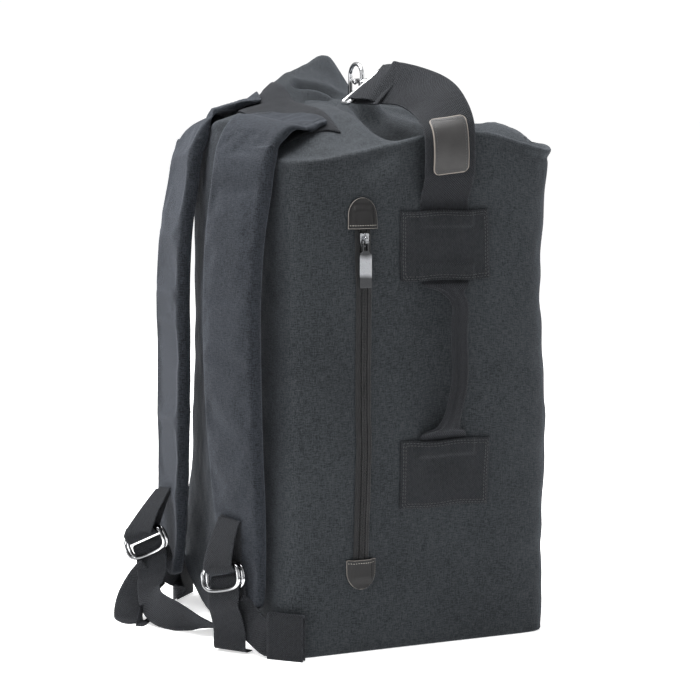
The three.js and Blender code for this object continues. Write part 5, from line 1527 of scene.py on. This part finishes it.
def leather_end(name, z, turn, node):
    lift = coil_lift + ZIP["coil_thick"] + CLEAR
    u, v = np.meshgrid(np.linspace(-1, 1, 60), np.linspace(0, math.pi / 2, 60))
    v = np.sin(v)
    turned = np.clip((v - 0.42) / 0.58, 0, 1)
    half = TAB["width"] / 2 * np.maximum(0.06, np.sqrt(1 - turned**2)) * (1 - 0.06 * v)
    y = zip_y + u * half
    ease = np.clip((ZIP["tape"] / 2 + 5 - np.abs(u * half)) / 5, 0, 1)
    over = CLEAR + (lift - CLEAR) * smooth(ease) * (1 - smooth((v - 0.55) / 0.3))
    rim = np.minimum((1 - np.abs(u)) * half, np.minimum(v, 1 - v) * TAB["height"])
    marks = {"wear": np.clip((0.55 - rim) / 0.35, 0, 1)}
    piece = on_wall(name, y, z + turn * v * TAB["height"], over, TAB["thick"], marks, 0.3)
    show(piece, TAB_LEATHER, node)
    # Stitches across the straight side.
    rows = []
    for a in np.linspace(-0.86, 0.86, 14):
        yy, zz = zip_y + a * TAB["width"] / 2, z + turn * 3.0
        easing = smooth(np.clip((ZIP["tape"] / 2 + 5 - abs(yy - zip_y)) / 5, 0, 1))
        rows.append((cover_x(yy, zz, 3) - CLEAR - (lift - CLEAR) * easing - TAB["thick"] - 0.1, yy, zz))
    return rows


threads = [leather_end("leather_dome", zip_high - TAB["height"] * 0.45, 1, "zip_tab_top"),
           leather_end("leather_shield", zip_low + TAB["height"] * 0.45, -1, "zip_tab_bottom")]
sew("tab_stitches", threads, PALE_THREAD, pitch=2.3, length=1.7, thick=0.7)

# The slider and the pull: satin nickel with the same painted reflection bands, their dark ones at 0.16 of its
# colour and shifted along the height.
BRIGHT = plated("satin_nickel", (0.4, 0.41, 0.43), 0.24, 0.16, 2.0)
slider_z = SLIDER["z"] * BAG["height"]
slider_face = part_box("zip_slider")[1][0] * 1000


def bevelled(name, outline, holes, depth, place, width=0.35, segments=3):
    """A flat shape with holes, extruded and softly bevelled. place(a, b, d) gives each point."""
    curve = bpy.data.curves.new(name, "CURVE")
    curve.dimensions = "2D"
    curve.fill_mode = "BOTH"
    curve.extrude = depth / 2 - width
    curve.bevel_depth = width
    curve.bevel_resolution = segments
    curve.offset = -width
    for loop in [outline, *holes]:
        spline = curve.splines.new("POLY")
        spline.points.add(len(loop) - 1)
        for point, (a, b) in zip(spline.points, loop):
            point.co = (a, b, 0, 1)
        spline.use_cyclic_u = True
    holder = bpy.data.objects.new(name + "_shape", curve)
    bpy.context.scene.collection.objects.link(holder)
    made = bpy.data.meshes.new_from_object(holder.evaluated_get(bpy.context.evaluated_depsgraph_get()))
    bpy.data.objects.remove(holder)
    co = np.array([v.co for v in made.vertices])
    moved = np.array([place(a, b, d) for a, b, d in co]) / 1000
    made.vertices.foreach_set("co", moved.astype(np.float32).ravel())
    made.name = name
    piece = bpy.data.objects.new(name, made)
    bpy.context.scene.collection.objects.link(piece)
    joined = bmesh.new()
    joined.from_mesh(made)
    bmesh.ops.remove_doubles(joined, verts=joined.verts, dist=1e-6)
    bmesh.ops.recalc_face_normals(joined, faces=joined.faces)
    joined.to_mesh(made)
    joined.free()
    made.polygons.foreach_set("use_smooth", [False] * len(made.polygons))
    return piece


def rounded_outline(corners, radius, count=5):
    path = []
    for k, here in enumerate(corners):
        here = np.array(here, float)
        a, b = np.array(corners[k - 1], float), np.array(corners[(k + 1) % len(corners)], float)
        r = min(radius, np.linalg.norm(a - here) / 2.2, np.linalg.norm(b - here) / 2.2)
        start, end = here + unit(a - here) * r, here + unit(b - here) * r
        path += [
            tuple((1 - t) ** 2 * start + 2 * t * (1 - t) * here + t * t * end)
            for t in np.linspace(0, 1, count)
        ]
    return path


tall, deep = SLIDER["height"] / 2, SLIDER["thick"]
high_arch = deep + 4
bridge_side = rounded_outline(
    [
        (0, -tall), (deep, -tall), (deep, -tall + 2), (high_arch, -tall + 3.5),
        (high_arch, tall - 3.5), (deep, tall - 2), (deep, tall), (0, tall),
    ],
    1.6,
)
bridge_hole = [(deep, -2.6), (deep, 2.6), (high_arch - 1.2, 2.6), (high_arch - 1.2, -2.6)]
bridge_hole = rounded_outline(bridge_hole, 0.6)
slider = bevelled("slider_bridge", bridge_side, [bridge_hole], SLIDER["bridge"],
                  lambda a, b, d: (slider_face - a, zip_y + d, slider_z + b), 0.3)
# The slider's flat body: wide shoulders above, a rounded foot below.
body_outline = [(-4.5, 6.2), (-2.2, 6.6), (0, 5.2), (2.2, 6.6), (4.5, 6.2)]
body_outline += [(4.3, -1.5), (3.1, -6.4), (-3.1, -6.4), (-4.3, -1.5)]
body_outline = rounded_outline(body_outline, 1.8)
slider_body = bevelled(
    "slider_body", body_outline, [], 2.0,
    lambda a, b, d: (slider_face - 1.0 + d, zip_y + a, slider_z + b), 0.5,
)
for piece in (slider, slider_body):
    piece.data.materials.clear()
    piece.data.materials.append(BRIGHT)
    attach(piece, "bag")
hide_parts("zip_slider")

hinge = np.array([slider_face - SLIDER["thick"] - 1.4, zip_y, slider_z - 1.2])
half, neck = PULL["width"] / 2, PULL["eye"]
eye_half, opening = SLIDER["bridge"] / 2 + CLEAR + PULL["wire"], SLIDER["bridge"] / 2 + CLEAR
pull_outline = rounded_outline(
    [(-eye_half, 0.8), (-eye_half, -neck), (-half, -neck - 2), (-half, -neck - PULL["length"]),
     (half, -neck - PULL["length"]), (half, -neck - 2), (eye_half, -neck), (eye_half, 0.8)], 1.3)
pull_hole = [(-opening, -0.5), (opening, -0.5), (opening, -neck + 1), (-opening, -neck + 1)]
pull_hole = rounded_outline(pull_hole, 0.9)
at_hinge = lambda a, b, d: (hinge[0] + d, hinge[1] + a, hinge[2] + b)
pull = bevelled("pull_plate", pull_outline, [pull_hole], PULL["thick"], at_hinge, 0.35)
show(pull, BRIGHT, "zip_pull", "zip_pull")
